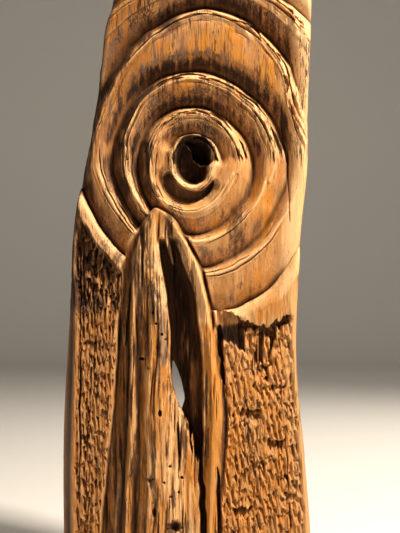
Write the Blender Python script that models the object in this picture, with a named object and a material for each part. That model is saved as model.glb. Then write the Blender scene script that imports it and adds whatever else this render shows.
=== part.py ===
"""A weathered slab of wood carved in relief: rings round an eye-shaped knot hole, over a forked ridge.

The slab is one piece. Its back is flat and lies in the plane Y = 0, its front faces -Y, and the origin is
the middle of the back. The carving is laid out on the face of the slab in layout units, a millimetre each
at the size below: U runs across to the right and V runs up, both from the middle of the slab. Depths are
metres, measured inward from the plane of the highest crests.
"""

import math

import bmesh
import bpy
import numpy as np

# The slab.
SLAB_HEIGHT = 1.136
SLAB_WIDTH = 0.431
SLAB_THICKNESS = 0.100
EDGE_ROUNDING = 0.010
CROWN = 0.006

# The rings.
GROOVE_DEPTH = 0.033
RING_CREST_SINK = 0.009
OUTER_RING_DEPTH = 0.016
MARGIN_SINK = 0.011
RIM_DEPTH = 0.012
LIP_DEPTH = 0.020
CRESCENT_DEPTH = 0.028
RING_SLOPE_SHARE = 0.28

# The knot hole.
EYE_DEPTH = 0.052
DEEP_HOLE_DEPTH = 0.078

# The forked ridge, the hollow between its ribs and the slot through the hollow's floor.
RIDGE_CREST_SINK = 0.001
STRIP_DEPTH = 0.037
STRIP_UPPER_DEPTH = 0.024
RIB_SINK = 0.009
RIB_GROOVE_DEPTH = 0.023
HOLLOW_DEPTH = 0.066
RIDGE_FOOT_DEPTH = 0.028

# The gouged fields.
FIELD_SINK = 0.018
SHELF_SINK = 0.0105
BORDER_SINK = 0.0155
GOUGE_DEPTH = 0.0085
HACK_DEPTH = 0.012
RECESS_DEPTH = 0.012

# The layout of the carving, in layout units.
LAYOUT_HEIGHT = 1136.0
LAYOUT_WIDTH = 431.0
UP = SLAB_HEIGHT / LAYOUT_HEIGHT
ACROSS = SLAB_WIDTH / LAYOUT_WIDTH

# The outline of the front and of the back, as (V, U) on each side.
LEFT_FRONT = ((-580, -203), (-393, -207), (-126, -201), (32, -201), (78, -196), (163, -178), (226, -165),
              (338, -151), (398, -144), (440, -131), (580, -116))
LEFT_BACK = ((-580, -223), (-274, -223), (-129, -215), (10, -204), (78, -198), (163, -181), (338, -155),
             (440, -137), (580, -121))
RIGHT_FRONT = ((-580, 207), (-466, 206), (-350, 197), (-155, 182), (-19, 187), (44, 190), (160, 201),
               (270, 202), (440, 208), (580, 206))
RIGHT_BACK = ((-580, 203), (-466, 202), (-350, 195), (-155, 182), (44, 189), (160, 198), (440, 204),
              (580, 202))

# The centre of the rings, and each groove and edge round it as (degrees, radius).
CENTRE = (5, 163)
EYE_EDGE = ((0, 31), (30, 34), (60, 42), (90, 43), (108, 46), (125, 39), (150, 33), (180, 31), (240, 36),
            (275, 38), (300, 36), (330, 30), (345, 28))
LIP_GROOVE = ((0, 51), (60, 52), (90, 53), (150, 48), (180, 51), (205, 60), (225, 68), (262, 70), (290, 63),
              (305, 56), (325, 49))
FIRST_GROOVE = ((0, 105), (30, 99), (90, 99), (150, 97), (180, 95), (210, 99), (245, 110), (278, 121),
                (300, 113), (330, 107))
SECOND_GROOVE = ((0, 163), (30, 158), (60, 155), (90, 160), (120, 155), (150, 143), (180, 138), (228, 139),
                 (255, 160), (280, 178), (300, 172), (330, 160))
THIRD_GROOVE = ((0, 221), (35, 218), (45, 238), (60, 255), (85, 269), (105, 246), (120, 226), (140, 204),
                (180, 199), (235, 199), (258, 226), (280, 255), (300, 252), (318, 233), (340, 224))
OUTER_GROOVE = ((0, 292), (45, 306), (60, 321), (90, 328), (120, 304), (150, 292), (250, 292))
CRESCENT_EDGE = ((195, 38), (225, 41), (250, 43), (285, 46), (325, 44))
CRESCENT_SPAN = (193, 206, 312, 328)
COLLAR_SHARE = 0.84
STEEP_REACH = 13.0
LONG_REACH = 37.0
STEEP_CURVE = 1.15
LONG_CURVE = 1.8
MARGIN_REACH = 26.0
RIM_CURVE = 2.4
OUTER_RING_SPAN = (-22, -12, 172, 182)
SIDE_FADE = (-50.0, -14.0)
SIDE_LOSS = 0.6
RIM_WIDTH = 19.0
RIM_FALL = 7.0

# The deeper hole in the floor of the knot hole.
DEEP_HOLE_CENTRE = (13, 177)
DEEP_HOLE_RADII = (17, 26)
EYE_FLOOR_SHARE = 0.72

# The lines of the forked ridge, each as (V, U), from its left side to its right.
RIDGE_TOP = 87.0
STRIP_EDGE = ((-580, -160), (-466, -154), (-296, -138), (-155, -126), (-70, -119), (15, -107), (58, -84),
              (87, -62))
STRIP_LEFT = ((-580, -153), (-466, -148), (-240, -128), (-70, -113), (15, -103), (58, -82), (87, -61.5))
STRIP_RIGHT = ((-580, -128), (-466, -121), (-240, -108), (-70, -105), (15, -99), (58, -80), (87, -61.2))
LEFT_RIB = ((-580, -118), (-466, -112), (-240, -99), (-172, -98), (-70, -97), (15, -92), (58, -76),
            (87, -60.6))
RIB_GROOVE = ((-580, -104), (-466, -98), (-240, -88), (-70, -86), (15, -81), (58, -70), (87, -60.2))
MIDDLE_BAND = ((-580, -76), (-466, -70), (-172, -60), (15, -60), (58, -60), (87, -59))
HOLLOW_LEFT = ((-580, 16), (-370, 14), (-342, 10), (-291, -4), (-240, -24), (-189, -35), (-121, -36),
               (-70, -41), (-5, -51), (39, -55), (87, -58))
HOLLOW_RIGHT = ((-580, 27), (-466, 27), (-370, 25), (-291, 25), (-189, 24), (-121, 19), (-70, 13), (-19, -4),
                (46, -29), (87, -57.5))
RIGHT_RIB = ((-580, 32), (-466, 33), (-325, 42), (-231, 46), (-172, 38), (-70, 26), (-19, 13), (46, -21),
             (75, -43), (87, -57))
RIDGE_FOOT = ((-580, 46), (-466, 47), (-325, 60), (-240, 61), (-172, 51), (-70, 34), (-19, 22), (12, 8),
              (46, -12), (75, -36), (87, -56.5))
HOLLOW_ENDS = (-380.0, -300.0, 8.0, 46.0)
HOLLOW_LEFT_WALL = 4.0
HOLLOW_RIGHT_WALL = 8.0
RIB_GROOVE_FADE = (0.0, -230.0)
STRIP_FADE = (20.0, -160.0)
SPLIT_TOP = (46.0, -43.0)
SPLIT_FOOT = (-9.0, -29.0)
SPLIT_HALF_WIDTH = 4.5
SPLIT_EDGE = 2.5
SPLIT_HEIGHT_SHARE = 0.8
RIDGE_TAPER = 60.0
RIDGE_BLEND = 3.0

# The slot that goes right through, as (V, U) of its two sides.
SLOT_LEFT = ((-262, -18), (-231, -29), (-206, -32), (-177, -31.5))
SLOT_RIGHT = ((-262, -15), (-245, -10), (-223, -13), (-197, -20), (-177, -28.5))
SLOT_STEPS = 10

# The torn edge of the shelf above the right-hand field, as (U, V), and the recess below it.
CLIFF = ((40, -80), (53, -84), (70, -90), (88, -99), (110, -107), (133, -114), (144, -106), (166, -95),
         (190, -97))
CLIFF_FALL = 4.0
CLIFF_FADE = (168.0, 182.0)
CLIFF_SIDE_FALL = 18.0
CLIFF_SPAN = (44.0, 47.0, 172.0, 180.0)
SHELF_START = 30.0
RECESS_SPAN = (38.0, 44.0, 164.0, 174.0)
RECESS_LENGTH = 58.0
RECESS_END_SHARE = 0.86
RECESS_NARROWING = (130.0, 160.0)
RECESS_NARROWED = 0.3

# The gouge marks, in columns along the grain.
BORDER_WIDTH = 4.0
BORDER_FALL = 9.5
GOUGE_ACROSS = 11.0
GOUGE_ALONG = 29.0
GOUGE_HALF_WIDTH = 4.6
GOUGE_TAPER = 0.4
GOUGE_LEDGE = 5.0
GOUGE_SCATTER = 0.45
LEFT_LEAN = math.radians(1)
RIGHT_LEAN = math.radians(11)

# The deeper hacks of the gouge in the right-hand field, each as the (U, V) of the middle of its top.
HACKS = ((104, -256), (146, -306), (92, -423), (150, -215), (116, -345), (170, -400))
HACK_HALF_WIDTH = 17.0
HACK_LENGTH = 27.0
HACK_LEDGE = 4.0
HACK_SIDE = 6.0

# How finely the blank is gridded before its flat stretches are thinned out.
COLUMNS = 136
ROWS = 360
BLANK_OVERHANG = 0.006
SIDE_LOOPS = (0.5, 1.0)
SIDE_BULGE = 2.0
KEPT_SHARE = 0.084
EYE_SEGMENTS = 30
HOLE_SEGMENTS = 16
CUTTER_OVERRUN = 0.02

WOOD_COLOUR = (0.42, 0.22, 0.09, 1.0)
WOOD_ROUGHNESS = 0.62


def clear_scene():
    """Removes whatever the scene holds."""
    for item in list(bpy.data.objects):
        bpy.data.objects.remove(item, do_unlink=True)


def ease(start, end, value):
    """0 below start and 1 above end, with a smooth step between."""
    share = np.clip((value - start) / (end - start), 0.0, 1.0)
    return share * share * (3.0 - 2.0 * share)


def through(points, where):
    """The value at each place of a smooth curve through (place, value) points."""
    places, values = np.array(points, float).T
    slopes = np.gradient(values, places)
    index = np.clip(np.searchsorted(places, where) - 1, 0, len(places) - 2)
    span = places[index + 1] - places[index]
    share = np.clip((where - places[index]) / span, 0.0, 1.0)
    first = (1 + 2 * share) * (1 - share) ** 2 * values[index]
    second = share * share * (3 - 2 * share) * values[index + 1]
    turns = share * (1 - share) ** 2 * slopes[index] - share * share * (1 - share) * slopes[index + 1]
    return first + second + span * turns


def round_through(points, degrees):
    """The same for a closed curve round the rings' centre, as (degrees, radius) points."""
    before = [(angle - 360, radius) for angle, radius in points[-2:]]
    after = [(angle + 360, radius) for angle, radius in points[:2]]
    return through([*before, *points, *after], np.mod(degrees, 360))


def within(span, value):
    """1 between the middle two of four places, easing to 0 at the outer two."""
    return ease(span[0], span[1], value) * (1 - ease(span[2], span[3], value))


def bead(inner, outer, radius, degrees, depth):
    """How far a bead between two grooves lies below its own crest.

    Above the knot hole the flank next to the inner groove is long and the other one is steep. Below the knot
    hole they change places.
    """
    upper = 0.5 + 0.5 * np.sin(np.radians(degrees))
    room = np.minimum((outer - inner) / (STEEP_REACH + LONG_REACH), 1.0)
    spread = (LONG_REACH - STEEP_REACH) * upper
    bend = (LONG_CURVE - STEEP_CURVE) * upper
    near = np.clip(1 - (radius - inner) / ((STEEP_REACH + spread) * room), 0.0, 1.0) ** (STEEP_CURVE + bend)
    far = np.clip(1 - (outer - radius) / ((LONG_REACH - spread) * room), 0.0, 1.0) ** (LONG_CURVE - bend)
    share = np.clip((radius - inner) / (outer - inner), 0.0, 1.0)
    slope = RING_SLOPE_SHARE * depth
    gentle = slope * (upper * (1 - share) + (1 - upper) * share)
    return (depth - slope) * (near + far) + slope * (2 * upper - 1) * far + gentle


def round_over(distance):
    """How far the rounded edge of the slab falls back, at a distance in from the outline."""
    share = np.clip(1 - distance * ACROSS / EDGE_ROUNDING, 0.0, 1.0)
    return EDGE_ROUNDING * (1 - np.sqrt(1 - share * share))


def scatter(column, row, seed):
    """A fixed number from 0 to 1 for each mark, the same on every run."""
    value = np.sin(column * 12.9898 + row * 78.233 + seed * 37.719) * 43758.5453
    return value - np.floor(value)


def gouges(u, v, lean):
    """The depth of the gouge marks: each is steep at its top, and rises and narrows towards its foot."""
    across = u * math.cos(lean) + v * math.sin(lean)
    along = v * math.cos(lean) - u * math.sin(lean)
    column = np.floor(across / GOUGE_ACROSS)
    shifted = along / GOUGE_ALONG + scatter(column, 0, 1)
    row = np.floor(shifted)
    down = 1 - shifted + row
    aside = across - (column + 0.5) * GOUGE_ACROSS
    bowl = np.clip(1 - (aside / (GOUGE_HALF_WIDTH * (1 - GOUGE_TAPER * down))) ** 2, 0.0, 1.0)
    deep = GOUGE_DEPTH * (1 - GOUGE_SCATTER * scatter(column, row, 2))
    return deep * ease(0, GOUGE_LEDGE, down * GOUGE_ALONG) * (1 - down) * bowl


def hacks(u, v):
    """The depth of the deeper hacks: each has a ledge at its top, from which it rises towards its foot."""
    sink = np.zeros(u.shape)
    for middle, top in HACKS:
        down = top - v
        deep = ease(0, HACK_LEDGE, down) * np.clip(1 - down / HACK_LENGTH, 0.0, 1.0)
        across = ease(HACK_HALF_WIDTH, HACK_HALF_WIDTH - HACK_SIDE, np.abs(u - middle))
        sink = np.maximum(sink, HACK_DEPTH * deep * across)
    return sink


def rings_sink(radius, degrees, kept):
    """Depth of the rings, of the lip round the knot hole and of the crescent pit below it.

    The grooves keep less of their depth towards the slab's right edge.
    """
    eye = round_through(EYE_EDGE, degrees)
    lines = (LIP_GROOVE, FIRST_GROOVE, SECOND_GROOVE, THIRD_GROOVE)
    grooves = [round_through(line, degrees) for line in lines]
    sink = bead(eye * COLLAR_SHARE, grooves[0], radius, degrees, LIP_DEPTH) + RING_CREST_SINK
    for inner, outer in zip(grooves, grooves[1:]):
        innermost = (inner is grooves[0]) & (radius < 0.5 * (inner + outer))
        ring = bead(inner, outer, radius, degrees, np.where(innermost, LIP_DEPTH, GROOVE_DEPTH * kept))
        sink = np.where(radius > inner, ring + RING_CREST_SINK, sink)
    edge = round_through(CRESCENT_EDGE, degrees)
    share = np.clip((radius - edge) / (grooves[0] - edge), 0.0, 1.0)
    bowl = np.sqrt(np.clip(4 * share * (1 - share), 0.0, 1.0))
    pit = CRESCENT_DEPTH * bowl * within(CRESCENT_SPAN, degrees)
    return np.maximum(sink, RING_CREST_SINK + pit)


def below_cliff(u, v):
    """How far below the torn edge at the top of the right-hand field each place lies."""
    return np.interp(u, *np.array(CLIFF, float).T) - v


def field_sink(u, v, left, right):
    """Depth of the gouged fields, of the shelf and recess above the right-hand one and of the borders."""
    on_left = np.where(u < 0, 1.0, 0.0)
    marks = on_left * gouges(u, v, LEFT_LEAN) + (1 - on_left) * gouges(u, v, RIGHT_LEAN)
    below = below_cliff(u, v)
    length = RECESS_LENGTH * (1 - (1 - RECESS_NARROWED) * ease(*RECESS_NARROWING, u))
    closed = ease(RECESS_END_SHARE * length, length, below)
    recess = ease(0, CLIFF_FALL, below) * (1 - closed) * within(RECESS_SPAN, u)
    field = FIELD_SINK + np.maximum(marks, hacks(u, v)) * (1 - recess) + RECESS_DEPTH * recess
    fall = CLIFF_FALL + (CLIFF_SIDE_FALL - CLIFF_FALL) * ease(*CLIFF_FADE, u)
    field = np.where(u > SHELF_START, SHELF_SINK + (field - SHELF_SINK) * ease(0, fall, below), field)
    inside = ease(BORDER_WIDTH, BORDER_WIDTH + BORDER_FALL, np.minimum(u - left, right - u))
    return BORDER_SINK + (field - BORDER_SINK) * inside


def outside_sink(u, v, radius, degrees, left, right, kept):
    """Depth outside the rings: a broad outer ring and plain margin above, a rim and gouged fields below."""
    third = round_through(THIRD_GROOVE, degrees)
    outer = round_through(OUTER_GROOVE, degrees)
    depth = kept * np.where(radius < 0.5 * (third + outer), GROOVE_DEPTH, OUTER_RING_DEPTH)
    broad = bead(third, outer, radius, degrees, depth) + RING_CREST_SINK
    beyond = np.clip((radius - outer) / MARGIN_REACH, 0.0, 1.0)
    margin = MARGIN_SINK + (RING_CREST_SINK + OUTER_RING_DEPTH - MARGIN_SINK) * (1 - beyond) ** RIM_CURVE
    above = np.where(radius < outer, broad, margin)
    rim = RING_CREST_SINK + RIM_DEPTH * np.clip(1 - (radius - third) / RIM_WIDTH, 0.0, 1.0) ** RIM_CURVE
    torn = ease(0, CLIFF_FALL, below_cliff(u, v)) * within(CLIFF_SPAN, u)
    fall = np.maximum(ease(third + RIM_WIDTH, third + RIM_WIDTH + RIM_FALL, radius), torn)
    below = rim + (field_sink(u, v, left, right) - rim) * fall
    upper = within(OUTER_RING_SPAN, np.where(degrees > 270, degrees - 360, degrees))
    return below + (above - below) * upper


def ridge_lines(v):
    """The ridge's lines from left to right at some heights, each with its depth there."""
    groove = RIDGE_CREST_SINK + (RIB_GROOVE_DEPTH - RIDGE_CREST_SINK) * ease(*RIB_GROOVE_FADE, v)
    strip = STRIP_UPPER_DEPTH + (STRIP_DEPTH - STRIP_UPPER_DEPTH) * ease(*STRIP_FADE, v)
    lines = (
        (STRIP_EDGE, FIELD_SINK),
        (STRIP_LEFT, strip),
        (STRIP_RIGHT, strip),
        (LEFT_RIB, RIB_SINK),
        (RIB_GROOVE, groove),
        (MIDDLE_BAND, RIDGE_CREST_SINK),
        (HOLLOW_LEFT, RIB_SINK),
        (HOLLOW_RIGHT, RIB_SINK),
        (RIGHT_RIB, 0.0),
        (RIDGE_FOOT, RIDGE_FOOT_DEPTH),
    )
    return [(through(line, v), depth) for line, depth in lines]


def ridge_sink(u, v):
    """Depth of the forked ridge, without its hollow."""
    lines = ridge_lines(v)
    sink = np.full(u.shape, lines[0][1])
    for (start, before), (end, after) in zip(lines, lines[1:]):
        share = ease(start, np.maximum(end, start + 0.1), u)
        sink = np.where(u >= start, before + (after - before) * share, sink)
    grown = ease(0, RIDGE_TAPER, RIDGE_TOP - v)
    return RIDGE_CREST_SINK + (sink - RIDGE_CREST_SINK) * grown


def hollow_sink(u, v):
    """Depth of the hollow between the ribs, with the spike that splits its top in two."""
    left = through(HOLLOW_LEFT, v)
    right = through(HOLLOW_RIGHT, v)
    inside = ease(0, HOLLOW_LEFT_WALL, u - left) * ease(0, HOLLOW_RIGHT_WALL, right - u)
    inside = inside * within(HOLLOW_ENDS, v)
    down = np.clip((SPLIT_TOP[0] - v) / (SPLIT_TOP[0] - SPLIT_FOOT[0]), 0.0, 1.0)
    split = SPLIT_TOP[1] + (SPLIT_FOOT[1] - SPLIT_TOP[1]) * down
    half = SPLIT_HALF_WIDTH * (1 - down)
    spike = (1 - ease(half, half + SPLIT_EDGE, np.abs(u - split))) * (v > SPLIT_FOOT[0])
    return HOLLOW_DEPTH * inside * (1 - SPLIT_HEIGHT_SHARE * spike)


def front_sink(u, v):
    """How far the carved front lies behind the plane of its highest crests, at any place on the slab."""
    left = through(LEFT_FRONT, v)
    right = through(RIGHT_FRONT, v)
    radius = np.hypot(u - CENTRE[0], v - CENTRE[1])
    degrees = np.mod(np.degrees(np.arctan2(v - CENTRE[1], u - CENTRE[0])), 360)
    third = round_through(THIRD_GROOVE, degrees)
    kept = 1 - SIDE_LOSS * ease(*SIDE_FADE, u - right)
    rings = rings_sink(radius, degrees, kept)
    sink = np.where(radius < third, rings, outside_sink(u, v, radius, degrees, left, right, kept))
    foot = through(RIDGE_FOOT, v)
    strip = through(STRIP_EDGE, v)
    on_ridge = ease(-RIDGE_BLEND, RIDGE_BLEND, u - strip) * ease(-RIDGE_BLEND, RIDGE_BLEND, foot - u)
    on_ridge = on_ridge * ease(-RIDGE_BLEND, RIDGE_BLEND, RIDGE_TOP - v)
    sink = sink + (ridge_sink(u, v) - sink) * on_ridge
    sink = np.maximum(sink, hollow_sink(u, v))
    middle = 0.5 * (left + right)
    camber = CROWN * ((u - middle) / (right - middle)) ** 2
    return sink + camber + round_over(np.minimum(u - left, right - u))


def world(u, v, inward):
    """Places on the layout, some depth in from the front's highest plane, as an array of coordinates."""
    return np.stack([u * ACROSS, inward - SLAB_THICKNESS, v * UP], axis=-1)


def new_object(name, mesh, collection):
    """An object for a mesh, in a collection."""
    made = bpy.data.objects.new(name, mesh)
    collection.objects.link(made)
    return made


def blank_mesh():
    """The carved front on a grid, closed by the sides and a back that the saw cut then trims flat."""
    bm = bmesh.new()
    depth_share = bm.verts.layers.float.new("depth_share")
    bmesh.ops.create_grid(bm, x_segments=COLUMNS, y_segments=ROWS, size=1.0)
    for share in SIDE_LOOPS:
        outline = [edge for edge in bm.edges if edge.is_boundary]
        made = bmesh.ops.extrude_edge_only(bm, edges=outline)["geom"]
        for vert in made:
            if isinstance(vert, bmesh.types.BMVert):
                vert[depth_share] = share
    bmesh.ops.holes_fill(bm, edges=[edge for edge in bm.edges if edge.is_boundary], sides=0)
    bmesh.ops.triangulate(bm, faces=[face for face in bm.faces if len(face.verts) > 4])
    bm.verts.ensure_lookup_table()
    grid = np.array([vert.co for vert in bm.verts])
    share = np.array([vert[depth_share] for vert in bm.verts])
    for vert, place in zip(bm.verts, blank_places(grid, share)):
        vert.co = place
    bmesh.ops.recalc_face_normals(bm, faces=bm.faces)
    mesh = bpy.data.meshes.new("carved_slab")
    bm.to_mesh(mesh)
    bm.free()
    return mesh


def blank_places(grid, share):
    """Where each grid point goes: share is 0 on the carved front, and rises to 1 at the back."""
    v = grid[:, 1] * (0.5 * LAYOUT_HEIGHT + BLANK_OVERHANG / UP)
    bulge = SIDE_BULGE * np.sin(math.pi * share)
    left = through(LEFT_FRONT, v) * (1 - share) + through(LEFT_BACK, v) * share - bulge
    right = through(RIGHT_FRONT, v) * (1 - share) + through(RIGHT_BACK, v) * share + bulge
    u = left + (right - left) * 0.5 * (grid[:, 0] + 1)
    front = front_sink(u, v)
    rim = EDGE_ROUNDING + CROWN + GROOVE_DEPTH
    behind = rim + (SLAB_THICKNESS + BLANK_OVERHANG - rim) * share
    return world(u, v, np.where(share > 0, behind, front))


def saw_cut_box(collection):
    """The box that trims the blank flat behind and square at both ends."""
    bpy.ops.mesh.primitive_cube_add(size=1.0)
    box = bpy.context.active_object
    box.name = "saw_cuts"
    box.dimensions = (2 * SLAB_WIDTH, 2 * SLAB_THICKNESS, SLAB_HEIGHT)
    box.location = (0.0, -SLAB_THICKNESS, 0.0)
    for owner in list(box.users_collection):
        owner.objects.unlink(box)
    collection.objects.link(box)
    return box


def funnel(name, outline, floor_share, depth, collection):
    """A tapered plug whose rim is an outline of layout places, to cut a blind hole of some depth."""
    count = len(outline)
    bm = bmesh.new()
    bmesh.ops.create_cone(bm, cap_ends=True, segments=count, radius1=1.0, radius2=1.0, depth=1.0)
    bm.verts.ensure_lookup_table()
    middle = np.mean(outline, axis=0)
    for vert in bm.verts:
        index = round(math.atan2(vert.co.y, vert.co.x) / math.tau * count) % count
        top = vert.co.z > 0
        reach = 1.0 if top else floor_share
        u, v = middle + (np.array(outline[index]) - middle) * reach
        vert.co = world(u, v, -CUTTER_OVERRUN if top else depth)
    bmesh.ops.recalc_face_normals(bm, faces=bm.faces)
    mesh = bpy.data.meshes.new(name)
    bm.to_mesh(mesh)
    bm.free()
    return new_object(name, mesh, collection)


def eye_outline():
    """The knot hole's edge as layout places, all the way round."""
    degrees = np.arange(EYE_SEGMENTS) * 360.0 / EYE_SEGMENTS
    radius = round_through(EYE_EDGE, degrees)
    turn = np.radians(degrees)
    return np.stack([CENTRE[0] + radius * np.cos(turn), CENTRE[1] + radius * np.sin(turn)], axis=-1)


def deep_hole_outline():
    """The edge of the deeper hole in the knot hole's floor."""
    turn = np.arange(HOLE_SEGMENTS) * math.tau / HOLE_SEGMENTS
    across = DEEP_HOLE_CENTRE[0] + DEEP_HOLE_RADII[0] * np.cos(turn)
    up = DEEP_HOLE_CENTRE[1] + DEEP_HOLE_RADII[1] * np.sin(turn)
    return np.stack([across, up], axis=-1)


def slot_cutter(collection):
    """A flat bar with the slot's outline, long enough to go through the hollow's floor and the back."""
    heights = np.linspace(SLOT_LEFT[-1][0], SLOT_LEFT[0][0], SLOT_STEPS)
    left = [(through(SLOT_LEFT, v), v) for v in heights]
    right = [(through(SLOT_RIGHT, v), v) for v in heights[::-1]]
    bm = bmesh.new()
    start = 0.5 * SLAB_THICKNESS - HOLLOW_DEPTH
    face = bm.faces.new([bm.verts.new(world(float(u), float(v), start)) for u, v in left + right])
    made = bmesh.ops.extrude_face_region(bm, geom=[face])["geom"]
    for vert in made:
        if isinstance(vert, bmesh.types.BMVert):
            vert.co.y = CUTTER_OVERRUN
    bmesh.ops.recalc_face_normals(bm, faces=bm.faces)
    mesh = bpy.data.meshes.new("slot_cutter")
    bm.to_mesh(mesh)
    bm.free()
    return new_object("slot_cutter", mesh, collection)


def cut(target, cutter, operation):
    """Adds a Boolean to the target and hides its cutter."""
    cutter.hide_render = True
    cutter.display_type = "WIRE"
    modifier = target.modifiers.new(cutter.name, "BOOLEAN")
    modifier.object = cutter
    modifier.operation = operation
    modifier.solver = "EXACT"


def wood_material():
    """The slab's own colour, as weathered brown wood."""
    material = bpy.data.materials.new("weathered_wood")
    material.use_nodes = True
    shader = material.node_tree.nodes["Principled BSDF"]
    shader.inputs["Base Color"].default_value = WOOD_COLOUR
    shader.inputs["Roughness"].default_value = WOOD_ROUGHNESS
    shader.inputs["Metallic"].default_value = 0.0
    return material


def build():
    """Makes the carved slab and its cutters."""
    clear_scene()
    parts = bpy.data.collections.new("wooden_wall_carving")
    cutters = bpy.data.collections.new("cutters")
    for collection in (parts, cutters):
        bpy.context.scene.collection.children.link(collection)
    slab = new_object("carved_slab", blank_mesh(), parts)
    slab.data.materials.append(wood_material())
    cut(slab, funnel("eye_cutter", eye_outline(), EYE_FLOOR_SHARE, EYE_DEPTH, cutters), "DIFFERENCE")
    hole = funnel("deep_hole_cutter", deep_hole_outline(), EYE_FLOOR_SHARE, DEEP_HOLE_DEPTH, cutters)
    cut(slab, hole, "DIFFERENCE")
    cut(slab, slot_cutter(cutters), "DIFFERENCE")
    thinning = slab.modifiers.new("thinning", "DECIMATE")
    thinning.ratio = KEPT_SHARE
    cut(slab, saw_cut_box(cutters), "INTERSECT")


build()
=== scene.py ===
"""The finished look of a weathered slab of wood, carved with rings round a knot hole above a forked ridge.

The carving is laid out on the slab's face in layout units, a millimetre each at the slab's real size: u runs
across to the right and v runs up, both from the middle of the slab. A sink is a depth in layout units, inward
from the plane of the highest crests. A span is four places in rising order: what it describes sets in between
the first two and ends between the last two. Where noise is read at places that are divided by a number, that
number is the size of its bumps in layout units, and what is added only picks another stretch of it.
"""

import logging
import math
from dataclasses import dataclass, field
from enum import Enum, IntEnum
from typing import Iterable, Sequence, Union

import bmesh
import bpy
import numpy as np
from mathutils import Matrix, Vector


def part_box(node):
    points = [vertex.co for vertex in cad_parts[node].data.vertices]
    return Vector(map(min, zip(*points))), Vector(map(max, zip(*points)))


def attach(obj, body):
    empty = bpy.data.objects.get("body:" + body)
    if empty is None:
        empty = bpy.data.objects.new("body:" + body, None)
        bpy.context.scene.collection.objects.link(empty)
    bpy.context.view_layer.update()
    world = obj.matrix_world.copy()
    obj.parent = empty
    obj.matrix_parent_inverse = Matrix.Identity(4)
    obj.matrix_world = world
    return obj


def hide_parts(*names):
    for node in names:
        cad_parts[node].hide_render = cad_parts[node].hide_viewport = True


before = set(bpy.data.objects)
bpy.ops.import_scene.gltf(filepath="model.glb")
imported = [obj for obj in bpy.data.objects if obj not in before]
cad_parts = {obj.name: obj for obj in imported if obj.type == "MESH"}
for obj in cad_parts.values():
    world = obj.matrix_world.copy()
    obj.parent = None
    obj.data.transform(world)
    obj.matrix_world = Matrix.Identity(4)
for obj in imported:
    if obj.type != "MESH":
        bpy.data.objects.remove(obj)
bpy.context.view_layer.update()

LOG = logging.getLogger("wall_carving")

Points = Sequence[tuple[float, float]]
Span = tuple[float, float, float, float]
Array = np.ndarray

NODE = "carved_slab"
LAYOUT_HEIGHT = 1136.0


def ease(start: float, end: float, value: Array) -> Array:
    """A smooth step.

    Args:
        start: where the step begins.
        end: where it is complete; it may lie below start.
        value: the places to measure.

    Returns:
        0 before start and 1 after end.
    """
    share = np.clip((value - start) / (end - start), 0.0, 1.0)
    return share * share * (3.0 - 2.0 * share)


def within(span: Span, value: Array) -> Array:
    """1 between the middle two places of a span, easing to 0 at the outer two."""
    return ease(span[0], span[1], value) * (1 - ease(span[2], span[3], value))


def through(points: Points, where: Array) -> Array:
    """A smooth curve through a few points.

    Args:
        points: (place, value) pairs in rising order of place.
        where: the places to read.

    Returns:
        The curve's value at each place.
    """
    places, values = np.array(points, float).T
    slopes = np.gradient(values, places)
    index = np.clip(np.searchsorted(places, where) - 1, 0, len(places) - 2)
    span = places[index + 1] - places[index]
    share = np.clip((where - places[index]) / span, 0.0, 1.0)
    first = (1 + 2 * share) * (1 - share) ** 2 * values[index]
    second = share * share * (3 - 2 * share) * values[index + 1]
    turns = share * (1 - share) ** 2 * slopes[index] - share * share * (1 - share) * slopes[index + 1]
    return first + second + span * turns


def round_through(points: Points, degrees: Array) -> Array:
    """The same for a closed curve round a centre, as (degrees, radius) points."""
    before = [(angle - 360, radius) for angle, radius in points[-2:]]
    after = [(angle + 360, radius) for angle, radius in points[:2]]
    return through([*before, *points, *after], np.mod(degrees, 360))


@dataclass
class Grain:
    """Smooth repeatable noise, used for everything that the hand and the weather leave uneven.

    Attributes:
        seed: which noise this is.
        size: how many lattice points it has each way before it repeats.
        octave_shift: how far each finer noise is moved, so that the octaves don't line up.
        rough_range: the largest value that rough noise would reach without being scaled.
    """

    seed: int
    size: int = 256
    octave_shift: tuple[float, float] = (17.3, 5.1)
    rough_range: float = 1.6
    lattice: Array = field(init=False)

    def __post_init__(self) -> None:
        """Draws the lattice."""
        self.lattice = np.random.default_rng(self.seed).uniform(-1.0, 1.0, (self.size, self.size))

    def at(self, x: Array, y: Array) -> Array:
        """The noise, from -1 to 1, at places counted in lattice steps."""
        column, row = np.floor(x).astype(int), np.floor(y).astype(int)
        across, along = x - column, y - row
        across = across * across * (3 - 2 * across)
        along = along * along * (3 - 2 * along)
        corners = [self.lattice[(column + a) % self.size, (row + b) % self.size]
                   for a, b in ((0, 0), (1, 0), (0, 1), (1, 1))]
        low = corners[0] * (1 - across) + corners[1] * across
        high = corners[2] * (1 - across) + corners[3] * across
        return low * (1 - along) + high * along

    def rough(self, x: Array, y: Array, octaves: int = 3) -> Array:
        """Noise with finer noise on top of it.

        Args:
            x: places across, in lattice steps.
            y: places up, in lattice steps.
            octaves: how many noises are laid over each other.

        Returns:
            The noise, from about -1 to 1.
        """
        total = np.zeros(np.broadcast(x, y).shape)
        for octave in range(octaves):
            scale = 2.0**octave
            aside, up = (shift * octave for shift in self.octave_shift)
            total += self.at(x * scale + aside, y * scale + up) / scale
        return total / self.rough_range

    def over(self, places: "Places", across: float, up: float, shift: float = 0, rise: float = 0) -> Array:
        """Rough noise over the front.

        Args:
            places: where to read it.
            across: the width of its bumps.
            up: their height.
            shift: how far aside the noise is read, in lattice steps, so that no two uses of it agree.
            rise: how far up it is read.

        Returns:
            The noise, from about -1 to 1.
        """
        return self.rough(places.u / across + shift, places.v / up + rise)


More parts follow.
